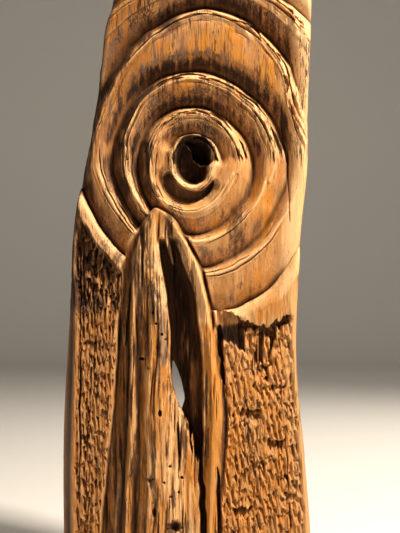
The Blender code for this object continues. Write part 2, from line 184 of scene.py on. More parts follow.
@dataclass
class Places:
    """Where the points of the front lie, straight and about the centre of the rings.

    Attributes:
        u: places across.
        v: places up.
        left: the slab's left edge at each place's height.
        right: the slab's right edge there.
        radius: distance from the rings' centre.
        degrees: angle about that centre, anticlockwise from the right.
    """

    u: Array
    v: Array
    left: Array
    right: Array
    radius: Array
    degrees: Array


@dataclass(frozen=True)
class Outline:
    """The slab's outline, at the front and at the back, as (v, u) points on each side."""

    left_front: Points = ((-580, -203), (-393, -207), (-126, -201), (32, -201), (78, -196), (163, -178),
                          (226, -165), (338, -151), (398, -144), (440, -131), (580, -116))
    left_back: Points = ((-580, -223), (-274, -223), (-129, -215), (10, -204), (78, -198), (163, -181),
                         (338, -155), (440, -137), (580, -121))
    right_front: Points = ((-580, 207), (-466, 206), (-350, 197), (-155, 182), (-19, 187), (44, 190),
                           (160, 201), (270, 202), (440, 208), (580, 206))
    right_back: Points = ((-580, 203), (-466, 202), (-350, 195), (-155, 182), (44, 189), (160, 198),
                          (440, 204), (580, 202))
    bulge: float = 2.0

    def edges(self, v: Array, share: Array) -> tuple[Array, Array]:
        """The left and right edges.

        Args:
            v: places up.
            share: 0 at the front and 1 at the back.

        Returns:
            The left and the right edge at each place.
        """
        bulge = self.bulge * np.sin(math.pi * share)
        left = through(self.left_front, v) * (1 - share) + through(self.left_back, v) * share - bulge
        right = through(self.right_front, v) * (1 - share) + through(self.right_back, v) * share + bulge
        return left, right


@dataclass
class KnotHole:
    """The eye-shaped knot hole, its collar and the deeper hole in its floor."""

    centre: tuple[float, float] = (5, 163)
    edge: Points = ((0, 31), (30, 34), (60, 42), (90, 43), (108, 46), (125, 39), (150, 33), (180, 31),
                    (240, 36), (275, 38), (300, 36), (330, 30), (345, 28))
    depth: float = 52.0
    deep: float = 78.0
    wall: float = 7.0
    ledge: Points = ((-25, 214), (-10, 201), (2, 187), (5, 171), (18, 161), (45, 163))
    ledge_height: float = 5.0
    ledge_drop: float = 3.0
    ledge_lip: Span = (-4, -1, 0, 1.5)
    ledge_rag: float = 2.2
    rim_waver: float = 0.9
    floor_swell: float = 2.5
    grain: Grain = field(default_factory=lambda: Grain(11))

    def rim(self, degrees: Array) -> Array:
        """The hole's radius, a little uneven."""
        turn = np.radians(degrees)
        waver = self.rim_waver * self.grain.at(np.cos(turn) * 6, np.sin(turn) * 6)
        return round_through(self.edge, degrees) + waver

    def ledge_line(self, places: Places) -> Array:
        """How far above the broken ledge each place lies; below 0 it is on the floor."""
        line = np.interp(places.u, *np.array(self.ledge, float).T)
        return places.v - line + self.ledge_rag * self.grain.over(places, 5, 7)

    def sink(self, places: Places) -> Array:
        """Depth of the hole's wall, floor and deeper hole; 0 outside it."""
        inward = self.rim(places.degrees) - places.radius
        wall = np.sqrt(np.clip(inward / self.wall, 0.0, 1.0))
        above = self.ledge_line(places)
        floor = self.depth + self.floor_swell * self.grain.over(places, 14, 14)
        floor = floor + (self.deep - self.depth) * ease(0, self.ledge_drop, above)
        return wall * (floor - self.ledge_height * within(self.ledge_lip, above))


@dataclass
class Rings:
    """The rounded beads and V grooves round the knot hole, with their torn edges."""

    hole: KnotHole
    lip_groove: Points = ((0, 51), (60, 52), (90, 53), (150, 48), (180, 51), (205, 60), (225, 68), (262, 70),
                          (290, 63), (305, 56), (325, 49))
    first: Points = ((0, 105), (30, 99), (90, 99), (150, 97), (180, 95), (210, 99), (245, 110), (278, 121),
                     (300, 113), (330, 107))
    second: Points = ((0, 163), (30, 158), (60, 155), (90, 160), (120, 155), (150, 143), (180, 138),
                      (228, 139), (255, 160), (280, 178), (300, 172), (330, 160))
    third: Points = ((0, 221), (35, 218), (45, 238), (60, 255), (85, 269), (105, 246), (120, 226), (140, 204),
                     (180, 199), (235, 199), (258, 226), (280, 255), (300, 252), (318, 233), (340, 224))
    outer: Points = ((0, 292), (45, 306), (60, 321), (90, 328), (120, 304), (150, 292), (250, 292))
    crest: float = 9.0
    depth: float = 33.0
    lip_depth: float = 21.0
    outer_depth: float = 16.0
    steep_reach: float = 13.0
    long_reach: float = 37.0
    steep_curve: float = 1.15
    long_curve: float = 1.8
    slope: float = 0.28
    crescent_depth: float = 28.0
    crescent_edge: Points = ((195, 38), (225, 41), (250, 43), (285, 46), (325, 44))
    crescent_span: Span = (193, 206, 312, 328)
    crescent_waver: float = 1.2
    margin: float = 11.0
    margin_reach: float = 26.0
    layers: int = 3
    layer_step: float = 0.3
    layer_start: float = -5.0
    layer_drift: float = 3.4
    gap: float = 7.0
    gap_depth: float = 6.0
    gap_run: tuple[float, float] = (34.0, 75.0)
    gap_share: tuple[float, float] = (0.3, 0.5)
    widening: float = 0.7
    wide_sector: Span = (-40, 5, 90, 140)
    plain_sector: Span = (-46, -28, -2, 12)
    slit: float = 3.6
    lip_height: float = 1.3
    lip_span: Span = (-2.6, -0.9, -0.3, 0.5)
    check_depth: float = 7.0
    check_span: Span = (-22, -16, -3, 0)
    check_share: float = 0.28
    edge_height: float = 1.6
    edge_span: Span = (-4.5, -1.5, 0.5, 3.0)
    seam: float = 238.0
    seam_run: float = 12.0
    turnover: float = 14.0
    waver: float = 1.8
    unevenness: float = 0.16
    left_shallow: Span = (138, 158, 186, 204)
    left_shallower: float = 0.75
    right_shallow: Span = (312, 328, 352, 372)
    right_shallower: float = 0.55
    edge_shallower: float = 0.6
    crescent_curve: float = 0.4
    margin_curve: float = 2.2
    rim_share: float = 0.84
    side_fade: tuple[float, float] = (-50.0, -14.0)
    grain: Grain = field(default_factory=lambda: Grain(23))

    def line(self, points: Points, places: Places) -> Array:
        """A groove's radius at each place, with the waver of a hand-cut line."""
        waver = self.waver * self.grain.at(places.u / 26 + points[0][1], places.v / 26)
        return round_through(points, places.degrees) + waver

    def reaches(self, inner: Array, outer: Array, places: Places) -> tuple[Array, Array]:
        """How far a bead's flanks reach out of the groove inside it and in from the groove outside it.

        Above the knot hole the inner flank is long and the outer one is steep. Below it they change places.

        Args:
            inner: radius of the groove inside the bead.
            outer: radius of the groove outside it.
            places: the places to measure.

        Returns:
            The reach of the inner and of the outer flank.
        """
        room = np.minimum((outer - inner) / (self.steep_reach + self.long_reach), 1.0)
        upper = 0.5 + 0.5 * np.sin(np.radians(places.degrees))
        spread = self.long_reach - self.steep_reach
        return (self.steep_reach + spread * upper) * room, (self.long_reach - spread * upper) * room

    def bead(self, inner: Array, outer: Array, places: Places, depth: Array) -> Array:
        """A bead between two grooves.

        Args:
            inner: radius of the groove inside it.
            outer: radius of the groove outside it.
            places: the places to measure.
            depth: how deep the grooves are.

        Returns:
            How far the bead lies below its own crest.
        """
        inside, outside = self.reaches(inner, outer, places)
        near = np.clip(1 - (places.radius - inner) / inside, 0.0, 1.0)
        far = np.clip(1 - (outer - places.radius) / outside, 0.0, 1.0)
        share = np.clip((places.radius - inner) / (outer - inner), 0.0, 1.0)
        upper = 0.5 + 0.5 * np.sin(np.radians(places.degrees))
        slope = self.slope * depth
        gentle = slope * (upper * (1 - share) + (1 - upper) * share)
        spread = self.long_curve - self.steep_curve
        near = near ** (self.steep_curve + spread * upper)
        far = far ** (self.long_curve - spread * upper)
        flanks = (depth - slope) * (near + far) + slope * (2 * upper - 1) * far
        return flanks + gentle + self.slivers(inner, outer, places)

    def slivers(self, inner: Array, outer: Array, places: Places) -> Array:
        """The thin torn layers on a bead's steep flank: raised edges with open gaps beyond them.

        Args:
            inner: radius of the groove inside the bead.
            outer: radius of the groove outside it.
            places: the places to measure.

        Returns:
            How much deeper the torn wood lies.
        """
        turn = np.mod(places.degrees - self.seam, 360)
        arc = np.radians(turn) * 0.5 * (inner + outer)
        inside, outside = self.reaches(inner, outer, places)
        upper = np.sin(np.radians(places.degrees + self.turnover)) > 0
        from_below = np.mod(places.degrees + 90, 360) - 90
        reach = np.where(upper, outside, inside)
        flank = reach - np.where(upper, outer - places.radius, places.radius - inner)
        total = np.zeros(places.u.shape)
        wide = 1 + self.widening * within(self.wide_sector, from_below)
        run, spared = np.where(upper, *self.gap_run), np.where(upper, *self.gap_share)
        widest = np.where(upper, self.gap * wide, self.slit)
        for layer in range(self.layers):
            drift = self.layer_drift * self.grain.rough(arc / 44, arc * 0 + 7.7 * layer + outer.mean() / 9)
            edge = reach * self.layer_step * layer + self.layer_start + drift
            open_share = self.grain.rough(arc / run, arc * 0 + 3.1 * layer + outer.mean() / 7) + spared
            width = widest * np.clip(open_share, 0, 1)
            past = flank - edge
            gap = ease(-0.2, 0.9, past) * (1 - ease(0.5 * width, width + 0.6, past)) * (width > 0.4)
            lip = self.lip_height * within(self.lip_span, past)
            total += self.gap_depth * wide * gap * ease(0.3, 2.0, width) - lip
        checks = self.grain.rough(arc / 42, flank / 2.6 + 40 + outer.mean() / 5) - self.check_share
        total += self.check_depth * np.clip(checks, 0.0, 1.0) * within(self.check_span, flank) * upper
        ends = ease(0, self.seam_run, turn) * (1 - ease(360 - self.seam_run, 360, turn))
        ends = ends * (1 - 0.7 * ease(-30, -10, places.u - places.right))
        strong = 0.7 + 0.3 * ease(-0.1, 0.6, np.sin(np.radians(places.degrees + 10)))
        strong = strong * (1 - within(self.plain_sector, from_below))
        below = ease(0.2, -0.3, np.sin(np.radians(places.degrees)))
        edge = self.edge_height * within(self.edge_span, flank) * below
        return (total * strong - edge) * ends * (places.radius > inner) * (places.radius < outer)

    def beside(self, places: Places) -> Array:
        """How much of their depth the grooves keep: less towards the slab's right edge."""
        return 1 - self.edge_shallower * ease(*self.side_fade, places.u - places.right)

    def sink(self, places: Places) -> Array:
        """Depth of the rings inside the third groove."""
        grooves = (self.lip_groove, self.first, self.second, self.third)
        lines = [self.line(points, places) for points in grooves]
        uneven = (1 + self.unevenness * self.grain.over(places, 44, 44)) * self.beside(places)
        past_right = np.where(places.degrees < 30, places.degrees + 360, places.degrees)
        shallow = 1 - self.left_shallower * within(self.left_shallow, places.degrees)
        shallow = shallow - self.right_shallower * within(self.right_shallow, past_right)
        rim = self.hole.rim(places.degrees) * self.rim_share
        sink = self.crest + self.bead(rim, lines[0], places, self.lip_depth * shallow)
        for index, (inner, outer) in enumerate(zip(lines, lines[1:])):
            depth = np.full(places.u.shape, self.depth) * uneven
            if index == 0:
                span = (outer - inner) * 0.5
                depth = np.where(places.radius < inner + span, self.lip_depth * shallow, depth)
            sink = np.where(places.radius > inner, self.crest + self.bead(inner, outer, places, depth), sink)
        waver = self.crescent_waver * self.grain.at(places.u / 5, places.v / 5)
        edge = round_through(self.crescent_edge, places.degrees) + waver
        share = np.clip((places.radius - edge) / (lines[0] - edge), 0.0, 1.0)
        bowl = np.clip(4 * share * (1 - share), 0.0, 1.0) ** self.crescent_curve
        pit = self.crescent_depth * bowl * within(self.crescent_span, places.degrees)
        return np.maximum(sink, self.crest + pit)

    def outside(self, places: Places) -> Array:
        """Depth of the broad ring and the plain margin above the third groove."""
        third, outer = self.line(self.third, places), self.line(self.outer, places)
        depth = self.outer_depth * self.beside(places)
        near = np.where(places.radius < 0.5 * (third + outer), self.depth * self.beside(places), depth)
        broad = self.crest + self.bead(third, outer, places, near)
        beyond = np.clip((places.radius - outer) / self.margin_reach, 0.0, 1.0)
        fall = self.crest + self.outer_depth - self.margin
        margin = self.margin + fall * (1 - beyond) ** self.margin_curve
        return np.where(places.radius < outer, broad, margin)


@dataclass
class Fields:
    """The gouged fields each side of the ridge, the rim above them and their smooth borders."""

    rings: Rings
    rim_width: float = 19.0
    rim_waver: float = 2.0
    rim_curve: float = 2.4
    rim_fall: float = 6.0
    rim_depth: float = 12.0
    level: float = 17.0
    border: float = 15.5
    left_border: float = 4.0
    left_run: float = 10.0
    right_border: float = 4.0
    right_run: float = 9.0
    border_waver: float = 2.0
    border_unevenness: float = 0.6
    passes: int = 3
    left_across: float = 6.8
    right_across: float = 9.0
    along: float = 31.0
    gouge: float = 9.0
    fibre: float = 4.0
    left_lean: float = math.radians(1)
    right_lean: float = math.radians(11)
    sway: float = 5.0
    fine_sway: float = 2.6
    pass_shift: float = 0.37
    row_rag: float = 0.45
    latest_start: float = 0.4
    half_width: float = 0.34
    half_spread: float = 0.2
    narrowing: float = 0.55
    off_middle: float = 0.3
    least_depth: float = 0.25
    steep_top: float = 0.12
    hack_across: float = 26.0
    hack_along: float = 58.0
    hack_pass: int = 41
    hack_share: float = 0.45
    hack_depth: float = 14.0
    pick_steps: tuple[float, float, float] = (12.9898, 78.233, 37.719)
    pick_scale: float = 43758.5453
    swell: float = 2.6
    upper_left: Span = (-100, -60, 60, 95)
    upper_left_marks: float = 0.7
    upper_left_drop: float = 3.0
    cliff: Points = ((40, -80), (53, -84), (70, -90), (88, -99), (110, -107), (133, -114), (144, -106),
                     (166, -95), (190, -97))
    cliff_rag: float = 5.0
    cliff_fine_rag: float = 2.5
    cliff_run: float = 2.5
    cliff_span: Span = (44, 47, 172, 180)
    cliff_fade: float = 16.0
    streaky_drop: float = 1.5
    streaky_depth: float = 0.9
    recess: float = 12.0
    recess_length: float = 58.0
    recess_span: Span = (38, 44, 164, 174)
    recess_shortening: float = 0.7
    recess_smoothing: float = 0.75
    recess_left: float = 82.0
    hanging_span: Span = (90, 98, 128, 142)
    flute_start: float = 12.0
    flute_rag: float = 0.9
    flute_span: Span = (90, 94, 170, 180)
    flute_height: float = 0.9
    grain: Grain = field(default_factory=lambda: Grain(37))

    def strokes(self, places: Places, lean: float, across: float, along: float, seed: int) -> Array:
        """The gouge strokes of one pass: each is steep at its top, rises slowly and narrows towards its foot.

        Args:
            places: the places to measure.
            lean: how far the strokes lean from upright.
            across: how far apart the strokes are.
            along: how long they are.
            seed: which pass this is.

        Returns:
            The depth of the strokes, up to 1.
        """
        sway = self.sway * self.grain.over(places, 24, 36, shift=seed)
        sway = sway + self.fine_sway * self.grain.at(places.u / 13, places.v / 90)
        aside = places.u * math.cos(lean) + places.v * math.sin(lean) + sway
        aside = aside / across + self.pass_shift * seed
        column = np.floor(aside)
        up = (places.v * math.cos(lean) - places.u * math.sin(lean)) / along
        up = up + self.pick(column, column * 0, seed)
        up = up + self.row_rag * self.grain.over(places, 8, 24, rise=seed)
        row = np.floor(up)
        start = self.latest_start * self.pick(column, row, seed + 1)
        down = np.clip((1 - up + row - start) / (1 - start), 0.0, 1.0)
        half = self.half_width + self.half_spread * self.pick(column, row, seed + 2)
        half = half * (1 - self.narrowing * down)
        middle = 0.5 + self.off_middle * (self.pick(column, row, seed + 3) - 0.5)
        bowl = np.clip(1 - ((aside - column - middle) / half) ** 2, 0.0, 1.0) ** 0.7
        depth = self.least_depth + (1 - self.least_depth) * self.pick(column, row, seed + 4)
        return depth * ease(0.0, self.steep_top, down) * (1 - down) ** 0.9 * bowl

    def marks(self, places: Places) -> Array:
        """Depth of the deepest gouge stroke at each place, with the fibres torn between them."""
        left = places.u < 0
        lean = np.where(left, 0.0, 1.0)
        deepest = np.zeros(places.u.shape)
        for index in range(self.passes):
            seed = 5 * index + 1
            on_left = self.strokes(places, self.left_lean, self.left_across, self.along, seed)
            on_right = self.strokes(places, self.right_lean, self.right_across, self.along, seed)
            deepest = np.maximum(deepest, on_left + (on_right - on_left) * lean)
        hacks = self.strokes(places, self.right_lean, self.hack_across, self.hack_along, self.hack_pass)
        hacks = self.hack_depth * np.clip(hacks - self.hack_share, 0.0, 1.0) * lean
        fibre = np.abs(self.grain.over(places, 5.2, 44, rise=70))
        return self.gouge * deepest + hacks + self.fibre * fibre

    def pick(self, column: Array, row: Array, seed: int) -> Array:
        """A fixed number from 0 to 1 for each mark."""
        by_column, by_row, by_seed = self.pick_steps
        value = np.sin(column * by_column + row * by_row + seed * by_seed) * self.pick_scale
        return value - np.floor(value)

    def below_cliff(self, places: Places) -> Array:
        """How far below the torn edge at the top of the right field each place lies."""
        line = np.interp(places.u, *np.array(self.cliff, float).T)
        ragged = self.cliff_rag * self.grain.rough(places.u / 9, places.v * 0 + 3)
        ragged = ragged + self.cliff_fine_rag * self.grain.at(places.u / 3, places.v / 20)
        return line + ragged - places.v

    def inside(self, places: Places) -> Array:
        """1 on the gouged fields and 0 on the smooth borders along the slab's edges."""
        waver = self.border_waver * self.grain.at(places.u * 0, places.v / 30)
        left = ease(self.left_border, self.left_border + self.left_run, places.u - places.left + waver)
        right_end = self.right_border + self.right_run
        return left * ease(self.right_border, right_end, places.right - places.u + waver)

    def under_cliff(self, places: Places) -> Array:
        """1 in the recess below the torn edge, easing to 0 at its foot and on the flutes in it."""
        below = self.below_cliff(places)
        hanging = within(self.hanging_span, places.u)
        ragged = self.grain.rough(places.u / 5.5, places.v * 0 + 21)
        length = self.recess_length * (1 - self.recess_shortening * ease(130, 160, places.u))
        length = length * (1 + hanging * (0.3 + 0.5 * ragged))
        open_share = 1 - ease(0.86 * length, length + 4.0 * ragged, below)
        recess = ease(0, 2.0, below) * open_share * within(self.recess_span, places.u)
        return recess * (1 - self.flute_height * self.flutes(places))

    def flutes(self, places: Places) -> Array:
        """1 on the torn strips of wood that hang down in the recess."""
        strip = ease(0.0, 0.22, self.grain.over(places, 5.0, 70, rise=51))
        start = self.flute_start * (1 + self.flute_rag * self.grain.rough(places.u / 6, places.v * 0 + 63))
        strip = strip * ease(start, start + 2.0, self.below_cliff(places))
        return strip * within(self.flute_span, places.u)

    def sink(self, places: Places) -> Array:
        """Depth of the rim, the fields and their borders."""
        third = self.rings.line(self.rings.third, places)
        rise = np.clip(1 - (places.radius - third) / self.rim_width, 0.0, 1.0)
        rim = self.rings.crest + self.rim_depth * rise**self.rim_curve
        upper_left = within(self.upper_left, places.v) * (places.u < 0)
        under = self.under_cliff(places)
        below = self.below_cliff(places)
        marks = self.marks(places) * (1 + self.upper_left_marks * upper_left)
        marks = marks * (1 - self.recess_smoothing * under * (places.u < self.recess_left))
        swell = self.swell * self.grain.over(places, 26, 44)
        ground = self.level + swell + marks + self.recess * under + self.upper_left_drop * upper_left
        streaky = self.streaky_depth * self.grain.over(places, 4, 45)
        streaky = self.rings.crest + self.streaky_drop + streaky
        torn = ease(0.0, self.cliff_run + self.cliff_fade * ease(168, 182, places.u), below)
        ground = np.where(places.u > 30, streaky + (ground - streaky) * torn, ground)
        border = self.border + self.border_unevenness * self.grain.over(places, 6, 60)
        ground = border + (ground - border) * self.inside(places)
        width = self.rim_width + self.rim_waver * self.grain.rough(places.degrees / 5, places.radius * 0)
        fall = ease(0, self.rim_fall, places.radius - third - width)
        fall = np.maximum(fall, ease(0.0, self.cliff_run, below) * within(self.cliff_span, places.u))
        return rim + (ground - rim) * fall


class Line(IntEnum):
    """The lines that run down the ridge, from left to right."""

    STRIP_EDGE = 0
    STRIP_LEFT = 1
    STRIP_RIGHT = 2
    LEFT_RIB = 3
    RIB_GROOVE = 4
    MIDDLE = 5
    HOLLOW_LEFT = 6
    HOLLOW_RIGHT = 7
    RIGHT_RIB = 8
    FOOT = 9


@dataclass
class Ridge:
    """The forked ridge with the hollow between its ribs. Each line is (v, u) points, in Line's order."""

    top: float = 87.0
    strip_edge: Points = ((-580, -160), (-466, -154), (-296, -138), (-155, -126), (-70, -119), (15, -107),
                          (58, -84), (87, -62))
    strip_left: Points = ((-580, -153), (-466, -148), (-240, -128), (-70, -113), (15, -103), (58, -82),
                          (87, -61.5))
    strip_right: Points = ((-580, -128), (-466, -121), (-240, -108), (-70, -105), (15, -99), (58, -80),
                           (87, -61.2))
    left_rib: Points = ((-580, -118), (-466, -112), (-240, -99), (-172, -98), (-70, -97), (15, -92),
                        (58, -76), (87, -60.6))
    rib_groove: Points = ((-580, -104), (-466, -98), (-240, -88), (-70, -86), (15, -81), (58, -70),
                          (87, -60.2))
    middle: Points = ((-580, -76), (-466, -70), (-172, -60), (15, -60), (58, -60), (87, -59))
    hollow_left: Points = ((-580, 16), (-370, 14), (-342, 10), (-291, -4), (-240, -24), (-189, -35),
                           (-121, -36), (-70, -41), (-5, -51), (39, -55), (87, -58))
    hollow_right: Points = ((-580, 27), (-466, 27), (-370, 25), (-291, 25), (-189, 24), (-121, 19),
                            (-70, 13), (-19, -4), (46, -29), (87, -57.5))
    right_rib: Points = ((-580, 32), (-466, 33), (-325, 42), (-231, 46), (-172, 38), (-70, 26), (-19, 13),
                         (46, -21), (75, -43), (87, -57))
    foot: Points = ((-580, 46), (-466, 47), (-325, 60), (-240, 61), (-172, 51), (-70, 34), (-19, 22), (12, 8),
                    (46, -12), (75, -36), (87, -56.5))
    sinks: Sequence[float] = (22.0, 37.0, 37.0, 10.0, 23.0, 1.0, 9.0, 9.0, 0.0, 28.0)
    ends: Span = (-380.0, -300.0, 8.0, 46.0)
    hollow_depth: float = 66.0
    strip_shallow: float = 24.0
    left_wall: float = 4.0
    right_wall: float = 8.0
    split_top: tuple[float, float] = (46.0, -43.0)
    split_foot: tuple[float, float] = (-9.0, -29.0)
    split_half_width: float = 4.5
    split_run: float = 2.5
    split_height: float = 0.85
    waver: float = 2.4
    coarse_fibre: float = 3.0
    fine_fibre: float = 1.8
    seam_depth: float = 13.0
    seam_share: float = 0.22
    flake_depth: float = 3.2
    crust_across: Span = (-28, -16, -3, 2)
    crust_span: Span = (-270, -210, -10, 40)
    fin_depth: float = 10.0
    fin_span: tuple[float, float] = (-225.0, -290.0)
    hollow_streaks: float = 5.0
    grain: Grain = field(default_factory=lambda: Grain(53))

    def lines(self, places: Places) -> list[Array]:
        """Where the ridge's lines run at each place's height, each with a waver of its own."""
        taper = ease(0, 70, self.top - places.v)
        made = []
        rows = (self.strip_edge, self.strip_left, self.strip_right, self.left_rib, self.rib_groove,
                self.middle, self.hollow_left, self.hollow_right, self.right_rib, self.foot)
        for index, points in enumerate(rows):
            waver = self.waver * self.grain.rough(places.v / 46, places.v * 0 + 9.7 * index)
            made.append(through(points, places.v) + waver * taper)
        return made

    def fibres(self, places: Places) -> Array:
        """The weathered fibres that stand out along the ridge."""
        lean = places.u + 6 * self.grain.at(places.u / 60, places.v / 130)
        coarse = self.grain.rough(lean / 10, places.v / 150)
        fine = self.grain.rough(lean / 3.2, places.v / 70 + 9)
        seams = np.clip(self.grain.rough(lean / 5.5, places.v / 110 + 33) - self.seam_share, 0.0, 1.0)
        return self.coarse_fibre * coarse + self.fine_fibre * fine + self.seam_depth * seams

    def sink(self, places: Places, lines: list[Array]) -> Array:
        """Depth of the ridge without its hollow."""
        sinks = list(self.sinks)
        groove, middle, strip = sinks[Line.RIB_GROOVE], sinks[Line.MIDDLE], sinks[Line.STRIP_LEFT]
        sinks[Line.RIB_GROOVE] = middle + (groove - middle) * (0.1 + 0.9 * ease(0, -230, places.v))
        strip = self.strip_shallow + (strip - self.strip_shallow) * ease(20, -160, places.v)
        sinks[Line.STRIP_LEFT] = sinks[Line.STRIP_RIGHT] = strip
        sink = np.full(places.u.shape, sinks[0])
        for index in range(len(lines) - 1):
            start, end = lines[index], np.maximum(lines[index + 1], lines[index] + 0.2)
            share = ease(start, end, places.u)
            step = sinks[index] + (sinks[index + 1] - sinks[index]) * share
            sink = np.where(places.u >= start, step, sink)
        down = self.top - places.v
        crest = self.sinks[Line.MIDDLE]
        flakes = 0.4 + 0.6 * self.crusted(places, lines)
        rough = self.flake_depth * self.grain.over(places, 6, 13, shift=3) * flakes
        return crest + (sink - crest) * ease(0, 60, down) + (self.fibres(places) + rough) * ease(0, 40, down)

    def crusted(self, places: Places, lines: list[Array]) -> Array:
        """1 on the rough crust beside the hollow's left edge."""
        across = within(self.crust_across, places.u - lines[Line.HOLLOW_LEFT])
        return across * within(self.crust_span, places.v)

    def hollow(self, places: Places, lines: list[Array]) -> Array:
        """Depth of the hollow, with the spike that splits its top in two and the fins at its foot."""
        left, right = lines[Line.HOLLOW_LEFT], lines[Line.HOLLOW_RIGHT]
        fins = self.fin_depth * self.grain.over(places, 4.2, 160, rise=5)
        fins = fins * ease(*self.fin_span, places.v)
        near = ease(0, self.left_wall, places.u - left + fins)
        far = ease(0, self.right_wall, right - places.u + 0.3 * fins) ** 0.8
        inside = near * far * within(self.ends, places.v)
        (top, top_aside), (foot, foot_aside) = self.split_top, self.split_foot
        down = np.clip((top - places.v) / (top - foot), 0.0, 1.0)
        split = top_aside + (foot_aside - top_aside) * down
        half = self.split_half_width * (1 - down)
        spike = (1 - ease(half, half + self.split_run, np.abs(places.u - split))) * (places.v > foot)
        streaks = self.hollow_streaks * self.grain.over(places, 5, 90)
        return (self.hollow_depth + streaks) * inside * (1 - self.split_height * spike)

    def cover(self, places: Places, lines: list[Array]) -> Array:
        """1 on the ridge and 0 off it."""
        across = ease(-3, 3, places.u - lines[Line.STRIP_EDGE]) * ease(-4, 2, lines[Line.FOOT] - places.u)
        return across * ease(-3, 3, self.top - places.v)


@dataclass(frozen=True)
class Crack:
    """A split along the grain, from one place to another."""

    start: tuple[float, float]
    end: tuple[float, float]
    half_width: float
    depth: float

    def sink(self, places: Places, grain: Grain) -> Array:
        """The crack's depth at each place."""
        along = np.array(self.end, float) - np.array(self.start, float)
        length = float(np.hypot(*along))
        across_u, across_v = places.u - self.start[0], places.v - self.start[1]
        share = (across_u * along[0] + across_v * along[1]) / length**2
        aside = (across_u * along[1] - across_v * along[0]) / length
        aside = aside + 1.5 * grain.at(share * length / 22, share * 0 + self.start[0])
        width = self.half_width * np.sqrt(np.clip(4 * share * (1 - share), 0.0, 1.0))
        bowl = 1 - (aside / np.maximum(width, 0.1)) ** 2
        return self.depth * np.clip(bowl, 0.0, 1.0) ** 0.7 * (width > 0.2)


@dataclass(frozen=True)
class Bore:
    """A hole that an insect left, or a small chip."""

    place: tuple[float, float]
    across: float
    up: float
    depth: float

    def sink(self, places: Places) -> Array:
        """The hole's depth at each place."""
        reach = ((places.u - self.place[0]) / self.across) ** 2 + ((places.v - self.place[1]) / self.up) ** 2
        return self.depth * np.clip(1.6 * (1 - reach), 0.0, 1.0)


@dataclass(frozen=True)
class Knot:
    """A small knot: a dark pit with cracks that run out of it.

    Attributes:
        place: its middle.
        reach: how far its cracks run.
        pit: half its pit's width.
        depth: its depth.
        rays: how many cracks it has, an odd number.
    """

    place: tuple[float, float]
    reach: float
    pit: float
    depth: float
    rays: int

    def distance(self, places: Places) -> Array:
        """How far each place lies from the knot."""
        return np.hypot(places.u - self.place[0], places.v - self.place[1])

    def sink(self, places: Places, grain: Grain) -> Array:
        """The knot's depth at each place."""
        reach = self.distance(places)
        turn = np.arctan2(places.v - self.place[1], places.u - self.place[0])
        uneven = grain.at(reach / 5, reach * 0 + self.place[0])
        rays = np.clip(1 - np.abs(np.sin(0.5 * self.rays * turn + uneven)) * reach / 3.2, 0.0, 1.0)
        rays = rays * np.clip(1 - reach / self.reach, 0.0, 1.0) ** 0.5
        return self.depth * np.maximum(rays, np.clip(1.5 - reach / self.pit, 0.0, 1.0))


@dataclass(frozen=True)
class Hack:
    """A deeper cut of the gouge with a ragged ledge at its top, from which it rises towards its foot."""

    top: tuple[float, float]
    half_width: float
    length: float
    depth: float
    rag: float = 5.0
    waver: float = 3.0

    def sink(self, places: Places, grain: Grain) -> Array:
        """The cut's depth at each place."""
        ragged = self.rag * grain.rough(places.u / 5, places.v * 0 + self.top[0])
        down = (self.top[1] + ragged - places.v) / self.length
        waver = self.waver * grain.at(places.v / 7, places.u * 0 + self.top[1])
        aside = np.abs(places.u - self.top[0] + waver) / self.half_width
        return self.depth * ease(0.0, 0.12, down) * np.clip(1 - down, 0.0, 1.0) * ease(1.0, 0.7, aside)


